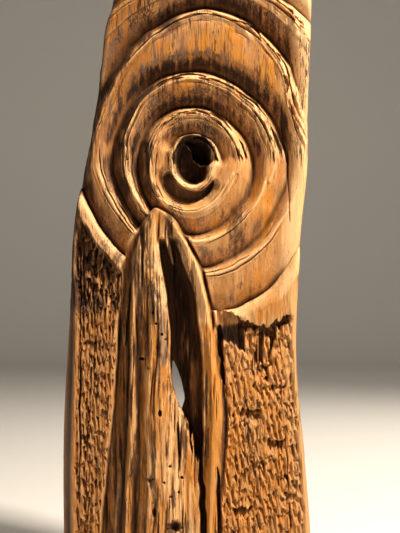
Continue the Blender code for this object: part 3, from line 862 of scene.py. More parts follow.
@dataclass
class Blemishes:
    """The cracks, insect holes, knots and deeper cuts."""

    hacks: tuple[Hack, ...] = (
        Hack((104, -256), 20.0, 26.0, 12.0),
        Hack((146, -306), 17.0, 30.0, 11.0),
        Hack((92, -423), 20.0, 22.0, 12.0),
        Hack((124, -182), 12.0, 24.0, 9.0),
        Hack((150, -215), 14.0, 22.0, 8.0),
        Hack((116, -345), 15.0, 24.0, 8.0),
        Hack((-180, -300), 8.0, 24.0, 9.0),
        Hack((-172, -140), 12.0, 20.0, 7.0),
        Hack((170, -400), 12.0, 30.0, 8.0),
    )
    cracks: tuple[Crack, ...] = (
        Crack((50, -112), (55, -178), 5.4, 24.0),
        Crack((55, -172), (60, -216), 3.8, 18.0),
        Crack((47, -352), (54, -566), 4.5, 15.0),
        Crack((163, -300), (172, -470), 1.6, 5.0),
        Crack((17, -330), (28, -560), 6.5, 22.0),
        Crack((-8, -262), (3, -330), 2.4, 16.0),
        Crack((-21, -276), (-18, -336), 2.4, 14.0),
        Crack((-187, 20), (-190, -420), 1.5, 5.0),
        Crack((-176, -360), (-182, -520), 1.7, 5.0),
        Crack((157, 240), (166, 166), 2.0, 6.0),
        Crack((166, 196), (170, 60), 1.6, 4.0),
        Crack((-100, -30), (-112, -150), 2.2, 6.0),
        Crack((-20, -480), (-26, -566), 1.8, 6.0),
        Crack((-52, -430), (-60, -560), 1.8, 5.0),
    )
    bores: tuple[Bore, ...] = (
        Bore((-63, -91), 2.6, 3.0, 8.0),
        Bore((-58, -110), 2.4, 2.4, 8.0),
        Bore((-48, -128), 2.6, 3.0, 8.0),
        Bore((-42, -137), 2.4, 2.4, 8.0),
        Bore((-82, -170), 5.5, 2.6, 8.0),
        Bore((-70, -185), 3.4, 4.2, 5.0),
        Bore((-51, -262), 3.6, 6.8, 9.0),
        Bore((-34, -352), 2.6, 2.6, 7.0),
        Bore((-14, -371), 2.4, 3.0, 7.0),
        Bore((-44, -379), 2.2, 2.6, 6.0),
        Bore((-19, -396), 2.4, 2.4, 6.0),
        Bore((-32, -404), 4.0, 1.8, 5.0),
        Bore((-61, -430), 3.6, 9.0, 9.0),
        Bore((-107, 170), 2.4, 2.4, 5.0),
        Bore((-88, 148), 1.8, 1.8, 4.0),
        Bore((-74, -520), 2.4, 2.6, 7.0),
        Bore((-38, -538), 2.6, 3.0, 7.0),
    )
    knots: tuple[Knot, ...] = (
        Knot((-25, -455), 15.0, 7.5, 15.0, 9),
        Knot((-68, -376), 8.0, 2.6, 6.0, 3),
    )
    grain: Grain = field(default_factory=lambda: Grain(71))

    def sink(self, places: Places) -> Array:
        """How much deeper the cracks, holes and knots lie than what is round them."""
        deepest = np.zeros(places.u.shape)
        for bore in self.bores:
            deepest = np.maximum(deepest, bore.sink(places))
        for cut in (*self.cracks, *self.hacks, *self.knots):
            deepest = np.maximum(deepest, cut.sink(places, self.grain))
        return deepest


@dataclass
class CarvedFront:
    """The whole carved front, put together from its parts."""

    outline: Outline = field(default_factory=Outline)
    hole: KnotHole = field(default_factory=KnotHole)
    ridge: Ridge = field(default_factory=Ridge)
    blemishes: Blemishes = field(default_factory=Blemishes)
    edge_rounding: float = 10.0
    crown: float = 6.0
    outer_ring_span: Span = (-22, -12, 172, 182)
    grain_depth: float = 0.55
    grain: Grain = field(default_factory=lambda: Grain(5))

    def __post_init__(self) -> None:
        """Makes the rings round the hole and the fields round the rings."""
        self.rings = Rings(self.hole)
        self.fields = Fields(self.rings)

    def places(self, u: Array, v: Array) -> Places:
        """Measures places on the front from the outline and from the centre of the rings."""
        left, right = self.outline.edges(v, np.zeros(v.shape))
        across, up = u - self.hole.centre[0], v - self.hole.centre[1]
        degrees = np.mod(np.degrees(np.arctan2(up, across)), 360)
        return Places(u, v, left, right, np.hypot(across, up), degrees)

    def round_over(self, distance: Array) -> Array:
        """How far the slab's rounded edge falls back, at a distance in from the outline."""
        share = np.clip(1 - distance / self.edge_rounding, 0.0, 1.0)
        return self.edge_rounding * (1 - np.sqrt(1 - share * share))

    def sink(self, places: Places) -> Array:
        """The depth of the whole front."""
        third = self.rings.line(self.rings.third, places)
        from_right = np.where(places.degrees > 270, places.degrees - 360, places.degrees)
        upper = within(self.outer_ring_span, from_right)
        below = self.fields.sink(places)
        outside = below + (self.rings.outside(places) - below) * upper
        sink = np.where(places.radius < third, self.rings.sink(places), outside)
        sink = sink + self.grain_depth * self.grain.over(places, 3.4, 42)
        lines = self.ridge.lines(places)
        cover = self.ridge.cover(places, lines)
        sink = sink + (self.ridge.sink(places, lines) - sink) * cover
        sink = sink + self.blemishes.sink(places)
        sink = np.maximum(sink, self.ridge.hollow(places, lines))
        sink = np.maximum(sink, self.hole.sink(places))
        middle = 0.5 * (places.left + places.right)
        camber = self.crown * ((places.u - middle) / (places.right - middle)) ** 2
        edge = self.round_over(np.minimum(places.u - places.left, places.right - places.u))
        return np.maximum(sink + camber, 0.0) + edge


def blurred(values: Array, reach: int) -> Array:
    """Averages a grid of values over squares of cells, twice over."""
    for _ in range(2):
        for axis in (0, 1):
            margins = [(reach + 1, reach) if side == axis else (0, 0) for side in (0, 1)]
            total = np.cumsum(np.pad(values, margins, mode="edge"), axis=axis)
            length, window = values.shape[axis], 2 * reach + 1
            high = np.take(total, range(window, window + length), axis=axis)
            low = np.take(total, range(0, length), axis=axis)
            values = (high - low) / window
    return values


class Stain(Enum):
    """The marks of age and fire, with painted shade and highlights, that are laid over the wood, each kept as
    a value at every point.
    """

    # Painted shade in recesses, in the top left corner and on the left field.
    CAVITY_SHADE = "cavity_shade"
    # Charring, with painted shade on faces turned from the light, in deep grooves, recesses and hollows.
    CHAR_AND_SHADE = "char_and_shade"
    # Grey smudges, partly painted shade on slopes facing down and towards the left.
    GREY_AND_SHADE = "grey_and_shade"
    # Freshly torn wood, with painted highlights on edges, lips and the right side.
    FRESH_AND_HIGHLIGHT = "fresh_and_highlight"
    GOLDEN = "golden"
    # Darker brown wood, partly painted shade towards the left, away from the light.
    AGED_AND_LEFT_SHADE = "aged_and_left_shade"
    STREAKED = "streaked"


def most(*grids: Array) -> Array:
    """The largest of several grids at each point."""
    return np.maximum.reduce(grids)


@dataclass
class Weathering:
    """Where fire, age and torn wood have marked the front, and where shade and highlights are painted on it.

    Each stain is worked out from the front's relief and its regions. A factor says how strong a mark is,
    and a span says where it lies, in layout units or degrees.

    Attributes:
        front: the carved front.
        places: the places of the front's grid.
        heights: the front's depth at each of them.
    """

    front: CarvedFront
    places: Places
    heights: Array
    sharp_reach: int = 4
    soft_reach: int = 5
    lip_reach: int = 10
    wide_reach: int = 12
    collar_ring: Span = (68, 75, 92, 97)
    collar_sector: Span = (25, 50, 135, 160)
    arc_ring: Span = (-3, 1, 11, 21)
    arc_sector: Span = (20, 52, 122, 150)
    band_ring: Span = (53, 58, 67, 77)
    band_sector: Span = (25, 55, 135, 165)
    left_grooves: Span = (10, 40, 165, 200)
    right_grooves: Span = (-20, 0, 90, 150)
    upper_left: Span = (-130, -75, 60, 90)
    upper_hollow: Span = (-190, -60, 60, 90)
    strip: Span = (-3, 2, 8, 14)
    rib_groove: Span = (-7, -3, 3, 7)
    clean_crest: Span = (-12, -7, 6, 12)
    plain_crest: Span = (-16, -9, 6, 12)
    pale_crest: Span = (-16, -9, 8, 14)
    ledge_crest: Span = (-2.6, -1.2, 0.2, 1.2)
    top_patch: tuple[Span, Span] = ((-90, -60, 70, 100), (335, 350, 382, 400))
    tan_patch: tuple[Span, Span] = ((-56, -42, -12, -4), (-480, -420, -260, -220))
    rim: Span = (0, 8, 18, 26)
    left_rim: Span = (-4, 2, 22, 30)
    grain: Grain = field(default_factory=lambda: Grain(91))

    def __post_init__(self) -> None:
        """Measures what several of the stains share: the front's regions and slopes, and streaks."""
        u, v, degrees = self.places.u, self.places.v, self.places.degrees
        rings, ridge = self.front.rings, self.front.ridge
        self.lines = ridge.lines(self.places)
        self.cover = ridge.cover(self.places, self.lines)
        self.from_crest = u - self.lines[Line.RIGHT_RIB]
        self.low_ridge = ease(60, 0, v)
        self.past_third = self.places.radius - round_through(rings.third, degrees)
        self.lower = v < self.front.hole.centre[1]
        self.rings = 1 - ease(20, 32, self.past_third) * self.lower
        self.fields = (1 - self.rings) * (1 - self.cover)
        self.sharp = self.heights - blurred(self.heights, self.sharp_reach)
        self.smoke = self.grain.over(self.places, 30, 40)
        self.streak = self.grain.over(self.places, 5.5, 38, rise=30)
        self.fine = self.grain.over(self.places, 2.6, 30, shift=120, rise=64)
        self.collar = within(self.collar_ring, self.places.radius + 4 * self.streak)
        self.collar = self.collar * within(self.collar_sector, degrees)
        soft = blurred(self.heights, self.soft_reach)
        self.faces_down = -np.gradient(soft, axis=0) / np.gradient(v, axis=0)
        self.faces_left = -np.gradient(soft, axis=1) / np.gradient(u, axis=1)
        turn = np.radians(degrees)
        self.height_share = np.sin(turn)
        self.beneath = self.height_share < 0
        self.faces_in = self.faces_down * np.sin(turn) + self.faces_left * np.cos(turn)

    def patch(self, spans: tuple[Span, Span]) -> Array:
        """1 in a patch, given by its spans across and up."""
        return within(spans[0], self.places.u) * within(spans[1], self.places.v)

    def cavity_shade(self) -> Array:
        """Painted shade: how far each place lies below what is round it, darker in the top left corner and on
        the left field.
        """
        wide = self.heights - blurred(self.heights, self.wide_reach)
        strip = within(self.strip, self.places.u - self.lines[Line.STRIP_LEFT]) * self.cover
        recess = self.front.fields.under_cliff(self.places)
        shade_amount = (0.07 - 0.02 * self.rings) * wide + (0.20 - 0.08 * self.rings) * self.sharp - 0.02
        left = self.places.u < 0
        # Painted shade: the top left corner and the left field are darker, away from the light.
        corner = 0.2 * ease(-60, -95, self.places.u) * ease(335, 365, self.places.v)
        shade_amount = shade_amount * (1 - 0.6 * strip) * (1 - (0.32 - 0.16 * left) * self.fields) * (1 - 0.8 * recess)
        shade_amount = (shade_amount + corner + 0.11 * left * self.fields) * (1 - 0.5 * self.collar)
        floor = ease(40, 50, self.heights) * (self.places.v > 100)
        return shade_amount * (1 - floor)

    def rings_char_and_shade(self) -> Array:
        """Charring in blots and arcs, and painted shade: darker on the sides of the rings that face down or
        left, away from the light, in their deep grooves and in the crescent pit.
        """
        u, v, radius = self.places.u, self.places.v, self.places.radius
        # Painted shade: darker on flanks that face left, inward or down, away from the light.
        leftward = 0.85 * ease(0.15, 0.9, self.faces_left) * (0.35 + 0.65 * ease(20, -40, u))
        inward = self.faces_in * ease(-0.2, 0.3, self.height_share) - 0.16 * ease(168, 150, radius)
        inward = ease(0.36, 0.94, inward + 0.12 * self.streak + 0.24 * self.fine)
        below = 0.5 * ease(0.42, 1.0, self.faces_down + 0.20 * self.streak) * self.beneath
        uneven = np.clip(0.88 + 0.55 * self.smoke + 0.2 * self.streak + 0.45 * self.fine, 0.0, 1.0)
        slopes = most(inward, below, leftward) * uneven * (1 - 0.8 * self.collar)
        blots = 0.62 * ease(0.25, 0.75, self.smoke + 0.25 * self.streak + 0.35 * self.fine)
        # Painted shade in the deep grooves and the crescent pit.
        left_grooves = 0.95 * ease(20, 29, self.heights) * ease(-40, -100, u) * within(self.left_grooves, v)
        right_grooves = 0.62 * ease(21, 33, self.heights) * within(self.right_grooves, u) * self.beneath
        pit = 0.8 * ease(18, 27, self.heights) * (radius < 64) * self.beneath
        grooves = most(left_grooves, right_grooves, pit) * (0.7 + 0.5 * self.streak)
        band = 0.8 * (within(self.band_ring, radius) * within(self.band_sector, self.places.degrees))
        arcs = self.arcs() * (0.72 + 0.5 * self.fine)
        char_and_shade_dark = most(slopes, grooves, band * (0.7 + 0.6 * self.fine), arcs, blots * (1 - self.collar))
        clean = 0.85 * ease(-42, -18, u - self.places.right)
        corner = 0.7 * ease(0, 12, self.past_third) * ease(-60, -110, u) * (self.height_share > 0)
        return char_and_shade_dark * self.rings * (1 - clean) * (1 - corner)

    def arcs(self) -> Array:
        """1 along the narrow dark arcs just outside each groove above the knot hole."""
        rings, places = self.front.rings, self.places
        across = [places.radius - round_through(points, places.degrees) + 6 * self.fine
                  for points in (rings.first, rings.second, rings.third)]
        arcs = most(*[within(self.arc_ring, each) for each in across])
        return arcs * within(self.arc_sector, places.degrees)

    def painted_field_shade(self) -> Array:
        """Painted shade on the fields, in uneven patches: the shadow under the rim at the top of the left
        field, the shadow in the recess below the torn edge and the deepest gouge marks.
        """
        u, v = self.places.u, self.places.v
        # Painted shade, in uneven patches: under the rim at the top left, in the recess below the torn edge
        # and in the deepest gouge marks.
        patches = np.clip(0.60 + 0.5 * self.smoke + 0.5 * self.streak, 0.0, 1.0)
        upper_left = within(self.upper_left, v) * (u < -112) * patches
        recess = (0.62 + 0.3 * ease(100, 80, u)) * self.front.fields.under_cliff(self.places)
        pits = 0.5 * ease(1.5, 7.0, self.sharp)
        return most(upper_left, recess, pits) * self.fields

    def ridge_char_and_shade(self) -> Array:
        """Charring in the ridge's veins and knots, and painted shade in its strip, groove and troughs; its
        right crest is clean.
        """
        u, v = self.places.u, self.places.v
        edge, rib, groove = (self.lines[line] for line in (Line.STRIP_EDGE, Line.LEFT_RIB, Line.RIB_GROOVE))
        # Painted shade in the strip beside the ridge, on the side away from the light.
        strip = ease(-3, 2, u - edge) * ease(-2, 3, rib - u - 4) * ease(110, -60, v)
        strip = 0.42 * strip * np.clip(0.7 + 0.6 * self.streak, 0.0, 1.0)
        groove = 0.85 * within(self.rib_groove, u - groove) * ease(-0.7, 0.3, self.streak)
        # Painted shade in the troughs.
        troughs = 0.85 * ease(1.5, 4.5, self.sharp)
        veins = 0.70 * ease(0.12, 0.34, self.grain.over(self.places, 4, 80, shift=60) + 0.14 * self.fine)
        knots = [0.8 * ease(knot.reach + 6, 0.3 * knot.reach, knot.distance(self.places) - 8 * self.streak)
                 for knot in self.front.blemishes.knots]
        crest = 0.75 * within(self.clean_crest, self.from_crest) * self.low_ridge
        return most(strip, groove, troughs, veins, *knots) * (1 - crest) * self.cover

    def painted_depth_shade(self) -> Array:
        """Painted shade in the hollow and the knot hole: black in the upper hollow and the deepest parts,
        streaked brown elsewhere.
        """
        # Painted shade: the deep hollow and knot hole are painted black and dark brown.
        upper = within(self.upper_hollow, self.places.v)
        left, right = self.lines[Line.HOLLOW_LEFT], self.lines[Line.HOLLOW_RIGHT]
        across = (self.places.u - left) / np.maximum(right - left, 1.0)
        beside = ease(0.65, 0.1, across) * self.cover
        eye = self.places.v > 100
        black = 0.71 + 0.9 * self.streak * (1 - 0.9 * eye) + 0.5 * upper + 0.3 * beside + 0.7 * eye
        black = np.clip(black, 0.0, 1.0)
        black = ease(38, 54, self.heights) * (black + (1 - black) * ease(70, 77, self.heights))
        return black * (1 - 0.75 * self.ledge_edge())

    def ledge_edge(self) -> Array:
        """1 along the thin broken edge of the ledge in the knot hole's floor."""
        edge = within(self.ledge_crest, self.front.hole.ledge_line(self.places))
        return edge * (self.places.radius < 40) * ease(30, 40, self.heights) * ease(-0.5, 0.1, self.streak)

    def char_and_shade(self) -> Array:
        """Where fire has scorched the wood, and where shade is painted dark."""
        return most(self.rings_char_and_shade(), self.painted_field_shade(), self.ridge_char_and_shade(), self.painted_depth_shade())

    def grey_and_shade(self) -> Array:
        """Grey smudges: the crust beside the hollow, streaks on the ridge and smudges on the rings, partly
        painted shade that is greyer on slopes facing down and towards the left.
        """
        u = self.places.u
        crust = self.front.ridge.crusted(self.places, self.lines)
        crust = crust * ease(-0.7, 0.1, self.streak + self.smoke)
        ridge = 0.5 * self.cover * ease(-0.05, 0.5, self.grain.over(self.places, 9, 150, rise=50))
        # Painted shade: greyer on slopes that face down and towards the left.
        sloping = 0.55 * ease(0.05, 0.45, self.faces_down) + 0.10 * ease(20, -120, u)
        clean = 0.30 * self.beneath * ease(0.50, 0.15, self.faces_down)
        noise = 0.8 * self.grain.over(self.places, 10, 44, shift=8, rise=11) + 0.40 * self.fine
        noise = noise + 0.17 * (self.height_share > 0) + 0.24 * self.patch(self.top_patch)
        smudges = 0.8 * self.rings * (ease(0.15, 0.85, noise + sloping - clean) * (1 - self.cover))
        return most(crust, ridge, smudges) * (1 - 0.5 * self.char_and_shade()) * (1 - 0.7 * self.collar)

    def fresh_and_highlight(self) -> Array:
        """Freshly torn wood, with painted highlights: paler on sharp edges, on the lips of the lower rings,
        on the right side of the rings and on the right border.
        """
        u = self.places.u
        # Painted highlight on convex edges, with torn wood paler.
        edges = np.clip(-(0.40 + 0.25 * self.lower * self.rings) * self.sharp - 0.15, 0.0, 1.0)
        crest = 0.6 * within(self.pale_crest, self.from_crest) * self.cover
        # Painted light: the right side of the rings, towards the light, is paler.
        side = ease(-44, -20, u - self.places.right) * self.rings
        # Painted highlight on the lips of the lower right rings.
        wide = self.heights - blurred(self.heights, self.lip_reach)
        lips = np.clip(-0.20 * wide - 0.20, 0.0, 1.0) * self.rings
        lips = 0.9 * lips * ease(-60, 0, u) * self.beneath
        edged = most(edges * (1 - crest), side, lips) * (0.4 + 0.6 * self.rings)
        torn = 0.2 * ease(0.05, 0.45, self.grain.over(self.places, 24, 30, shift=70)) * self.fields * (u > 0)
        pinkish = ease(0.08, 0.36, self.grain.over(self.places, 7, 70, shift=71, rise=5))
        pinkish = 0.6 * self.cover * pinkish * (1 - crest)
        # Painted light: the right border is paler.
        border = 0.5 * ease(-40, -8, u - self.places.right) * (1 - self.rings)
        collar = 0.42 * self.collar * ease(-0.5, 0.2, self.fine + self.streak)
        tan = 0.75 * self.patch(self.tan_patch) * ease(-0.5, 0.3, self.streak) * self.cover
        return most(edged, torn, pinkish, border, collar) + tan + 0.9 * self.ledge_edge()

    def golden(self) -> Array:
        """Warm orange wood: patches on the rings, most of the fields and all of the ridge."""
        patches = ease(-0.1, 0.5, self.grain.over(self.places, 22, 60, shift=40, rise=3))
        corner = ease(-40, -90, self.places.u) * ease(240, 290, self.places.v)
        return most(patches, (1 - self.rings) * ease(-0.9, 0.2, self.streak), self.cover, corner)

    def aged_and_left_shade(self) -> Array:
        """Darker brown wood, partly painted shade: the left half darker, away from the light, the rim's left
        part and patches on the ridge.
        """
        u, v = self.places.u, self.places.v
        # Painted shade: darker towards the left and the top left, away from the light.
        left = ease(40, -170, u) * (0.75 + 0.4 * self.smoke) + 0.45 * ease(250, 300, v) * ease(-40, -90, u)
        corner = ease(30, -60, u) * ease(250, 300, self.places.radius) * self.rings
        rim = 0.95 * within(self.left_rim, self.past_third) * (u < -60) * (v < 60)
        crest = within(self.pale_crest, self.from_crest) * self.low_ridge
        patches = 0.5 * self.cover * ease(0.10, 0.45, self.grain.over(self.places, 11, 55, shift=20, rise=44))
        return most(left + 0.34 * self.fields, corner, rim, patches * (1 - crest))

    def streaked(self) -> Array:
        """How strongly thin dark lines follow the grain."""
        u = self.places.u
        patch = self.grain.over(self.places, 24, 70, shift=90, rise=12)
        crest = within(self.plain_crest, self.from_crest) * self.low_ridge
        ridge = self.cover * np.clip(0.5 + 0.9 * patch, 0.0, 1.0) * (1 - 0.8 * crest)
        clean = 0.6 * self.rings * self.beneath * ease(-20, 20, u)
        open_wood = (0.5 + 0.15 * self.rings - 0.5 * clean) * (1 - self.cover) * (1 + patch)
        rim = 0.8 * within(self.rim, self.past_third) * self.lower * (1 - clean)
        return most(ridge, open_wood, rim)

    def all(self) -> dict[Stain, Array]:
        """A grid of values from 0 to 1 for each stain."""
        made = {
            Stain.CAVITY_SHADE: self.cavity_shade(),
            Stain.CHAR_AND_SHADE: self.char_and_shade(),
            Stain.GREY_AND_SHADE: self.grey_and_shade(),
            Stain.FRESH_AND_HIGHLIGHT: self.fresh_and_highlight(),
            Stain.GOLDEN: self.golden(),
            Stain.AGED_AND_LEFT_SHADE: self.aged_and_left_shade(),
            Stain.STREAKED: self.streaked(),
        }
        return {stain: np.clip(grid, 0.0, 1.0) for stain, grid in made.items()}


def finished(bm: bmesh.types.BMesh, name: str) -> bpy.types.Mesh:
    """Turns a bmesh into a mesh and frees it."""
    mesh = bpy.data.meshes.new(name)
    bm.to_mesh(mesh)
    bm.free()
    return mesh


def placed(name: str, data: bpy.types.ID) -> bpy.types.Object:
    """Puts an object into the scene."""
    made = bpy.data.objects.new(name, data)
    bpy.context.scene.collection.objects.link(made)
    return made


def new_verts(extruded: dict) -> list[bmesh.types.BMVert]:
    """The vertices that an extrusion made."""
    return [item for item in extruded["geom"] if isinstance(item, bmesh.types.BMVert)]


def coordinates(mesh: bpy.types.Mesh) -> Array:
    """A mesh's vertices as rows of x, y and z."""
    flat = np.empty(len(mesh.vertices) * 3)
    mesh.vertices.foreach_get("co", flat)
    return flat.reshape(-1, 3)


@dataclass
class Slab:
    """The slab's mesh.

    Attributes:
        low: the lowest corner of the slab's box.
        high: the highest corner.
        columns: grid cells across the front before thinning.
        rows: grid cells up the front.
        kept: share of the triangles that thinning keeps.
        side_loops: the extra loops of points on the sides, by their share of the way to the back.
    """

    low: Vector
    high: Vector
    columns: int = 400
    rows: int = 1050
    kept: float = 0.222
    side_loops: Sequence[float] = (0.12, 0.28, 0.46, 0.64, 0.82, 1.0)
    front: CarvedFront = field(default_factory=CarvedFront)
    slot_left: Points = ((-262, -18), (-231, -29), (-206, -32), (-177, -31.5))
    slot_right: Points = ((-262, -15), (-245, -10), (-223, -13), (-197, -20), (-177, -28.5))
    slot_steps: int = 24
    cutter_sink: float = 40.0
    cutter_end: float = 0.02
    sharp_angle: float = math.radians(62)
    uneven_sides: tuple[float, float] = (1.4, 0.6)
    square_ends: float = 0.985
    side_reach: float = 16.0
    side_ageing: float = 0.55
    grain: Grain = field(default_factory=lambda: Grain(91))

    def __post_init__(self) -> None:
        """Works out the size of a layout unit."""
        self.unit = (self.high.z - self.low.z) / LAYOUT_HEIGHT
        self.thickness = -self.low.y

    def grid(self) -> tuple[Array, Array]:
        """The layout places of the front's grid, across and up."""
        across = np.linspace(-1.0, 1.0, self.columns + 1)[None, :]
        up = np.linspace(-1.0, 1.0, self.rows + 1)[:, None]
        across, up = np.broadcast_arrays(across, up)
        v = up * 0.5 * LAYOUT_HEIGHT
        left, right = self.front.outline.edges(v, np.zeros(v.shape))
        return left + (right - left) * 0.5 * (across + 1), v

    def place(self, u: Array, v: Array, sink: Array) -> Array:
        """World coordinates of layout places at a depth."""
        return np.stack([u * self.unit, sink * self.unit - self.thickness, v * self.unit], axis=-1)

    def side_sink(self, share: Array, front: Array) -> Array:
        """Depth of a point on the sides: just behind the front's own edge at 0 and at the back at 1."""
        back = self.thickness / self.unit
        return front + (back - front) * share

    def blank(self) -> bpy.types.Mesh:
        """The closed slab at full detail: the front's grid, the sides and a flat back."""
        self.front_places = self.front.places(*self.grid())
        self.heights = self.front.sink(self.front_places)
        bm = bmesh.new()
        share_layer = bm.verts.layers.float.new("share")
        bmesh.ops.create_grid(bm, x_segments=self.columns, y_segments=self.rows, size=1.0)
        for share in self.side_loops:
            edges = [edge for edge in bm.edges if edge.is_boundary]
            for vert in new_verts(bmesh.ops.extrude_edge_only(bm, edges=edges)):
                vert[share_layer] = share
        bmesh.ops.holes_fill(bm, edges=[edge for edge in bm.edges if edge.is_boundary], sides=0)
        bmesh.ops.triangulate(bm, faces=[face for face in bm.faces if len(face.verts) > 4])
        bmesh.ops.recalc_face_normals(bm, faces=bm.faces)
        mesh = finished(bm, "slab_blank")
        share = np.empty(len(mesh.vertices))
        mesh.attributes["share"].data.foreach_get("value", share)
        mesh.attributes.remove(mesh.attributes["share"])
        mesh.vertices.foreach_set("co", self.shaped(coordinates(mesh), share).ravel())
        mesh.update()
        return mesh

    def shaped(self, flat: Array, share: Array) -> Array:
        """Moves the blank's points from a flat square to the slab.

        Args:
            flat: the points, with x and y from -1 to 1.
            share: how far each lies along the sides, 0 at the front and 1 at the back.

        Returns:
            The points' world coordinates.
        """
        column = np.rint((flat[:, 0] + 1) * 0.5 * self.columns).astype(int)
        row = np.rint((flat[:, 1] + 1) * 0.5 * self.rows).astype(int)
        v = flat[:, 1] * 0.5 * LAYOUT_HEIGHT
        left, right = self.front.outline.edges(v, share)
        ends = ease(self.square_ends, 1.0, np.abs(flat[:, 1]))
        coarse, fine = self.uneven_sides
        uneven = coarse * self.grain.rough(v / 40, share * 3) + fine * self.grain.rough(v / 9, share * 2 + 7)
        inner = uneven * (1 - ends) * np.sin(math.pi * share)
        left, right = left + inner, right - inner
        u = left + (right - left) * 0.5 * (flat[:, 0] + 1)
        return self.place(u, v, self.side_sink(share, self.heights[row, column]))

    def slot_cutter(self) -> bpy.types.Object:
        """A flat bar with the slot's outline, which goes through the hollow's floor and the back."""
        heights = np.linspace(self.slot_left[-1][0], self.slot_left[0][0], self.slot_steps)
        left = [(float(through(self.slot_left, v)), float(v)) for v in heights]
        right = [(float(through(self.slot_right, v)), float(v)) for v in heights[::-1]]
        bm = bmesh.new()
        sink = np.array(self.cutter_sink)
        verts = [bm.verts.new(self.place(np.array(u), np.array(v), sink)) for u, v in left + right]
        for vert in new_verts(bmesh.ops.extrude_face_region(bm, geom=[bm.faces.new(verts)])):
            vert.co.y = self.cutter_end
        bmesh.ops.recalc_face_normals(bm, faces=bm.faces)
        return placed("slot_cutter", finished(bm, "slot_cutter"))

    def lay_stains(self, mesh: bpy.types.Mesh) -> None:
        """Reads each stain at every point of the finished mesh and keeps it on the mesh."""
        u, sink, v = (coordinates(mesh) / self.unit).T
        left, right = self.front.outline.edges(v, np.zeros(v.shape))
        column = np.clip((u - left) / (right - left), 0.0, 1.0) * self.columns
        row = np.clip(v / LAYOUT_HEIGHT + 0.5, 0.0, 1.0) * self.rows
        near_column = np.minimum(column.astype(int), self.columns - 1)
        near_row = np.minimum(row.astype(int), self.rows - 1)
        across, up = column - near_column, row - near_row
        depth_behind = sink + self.thickness / self.unit - self.heights[near_row, near_column]
        behind = np.maximum(ease(-60, -15, sink), ease(5, 60, depth_behind))
        side = ease(2, 34, depth_behind) * (np.minimum(u - left, right - u) < self.side_reach)
        plainer = {Stain.CHAR_AND_SHADE: 0.9 * side, Stain.STREAKED: 0.6 * behind, Stain.AGED_AND_LEFT_SHADE: 0.5 * behind}
        for stain, grid in Weathering(self.front, self.front_places, self.heights).all().items():
            low, high = (grid[near_row + step, near_column] * (1 - across)
                         + grid[near_row + step, near_column + 1] * across for step in (0, 1))
            value = (low * (1 - up) + high * up) * (1 - plainer.get(stain, behind))
            if stain is Stain.AGED_AND_LEFT_SHADE:
                value = np.maximum(value, self.side_ageing * side)
            made = mesh.attributes.new(stain.value, "FLOAT", "POINT")
            made.data.foreach_set("value", value.astype(np.float32))

    def build(self) -> bpy.types.Object:
        """Makes the slab: blank, thinned, slotted and stained."""
        blank = placed("slab_blank", self.blank())
        cutter = self.slot_cutter()
        thinning = blank.modifiers.new("thinning", "DECIMATE")
        thinning.ratio = self.kept
        slotting = blank.modifiers.new("slot", "BOOLEAN")
        slotting.object = cutter
        slotting.operation = "DIFFERENCE"
        graph = bpy.context.evaluated_depsgraph_get()
        mesh = bpy.data.meshes.new_from_object(blank.evaluated_get(graph), depsgraph=graph)
        mesh.name = "weathered_slab"
        for helper in (blank, cutter):
            bpy.data.objects.remove(helper, do_unlink=True)
        mesh.shade_smooth()
        mesh.set_sharp_from_angle(angle=self.sharp_angle)
        self.lay_stains(mesh)
        return placed("weathered_slab", mesh)


Value = Union["Socket", float, int]


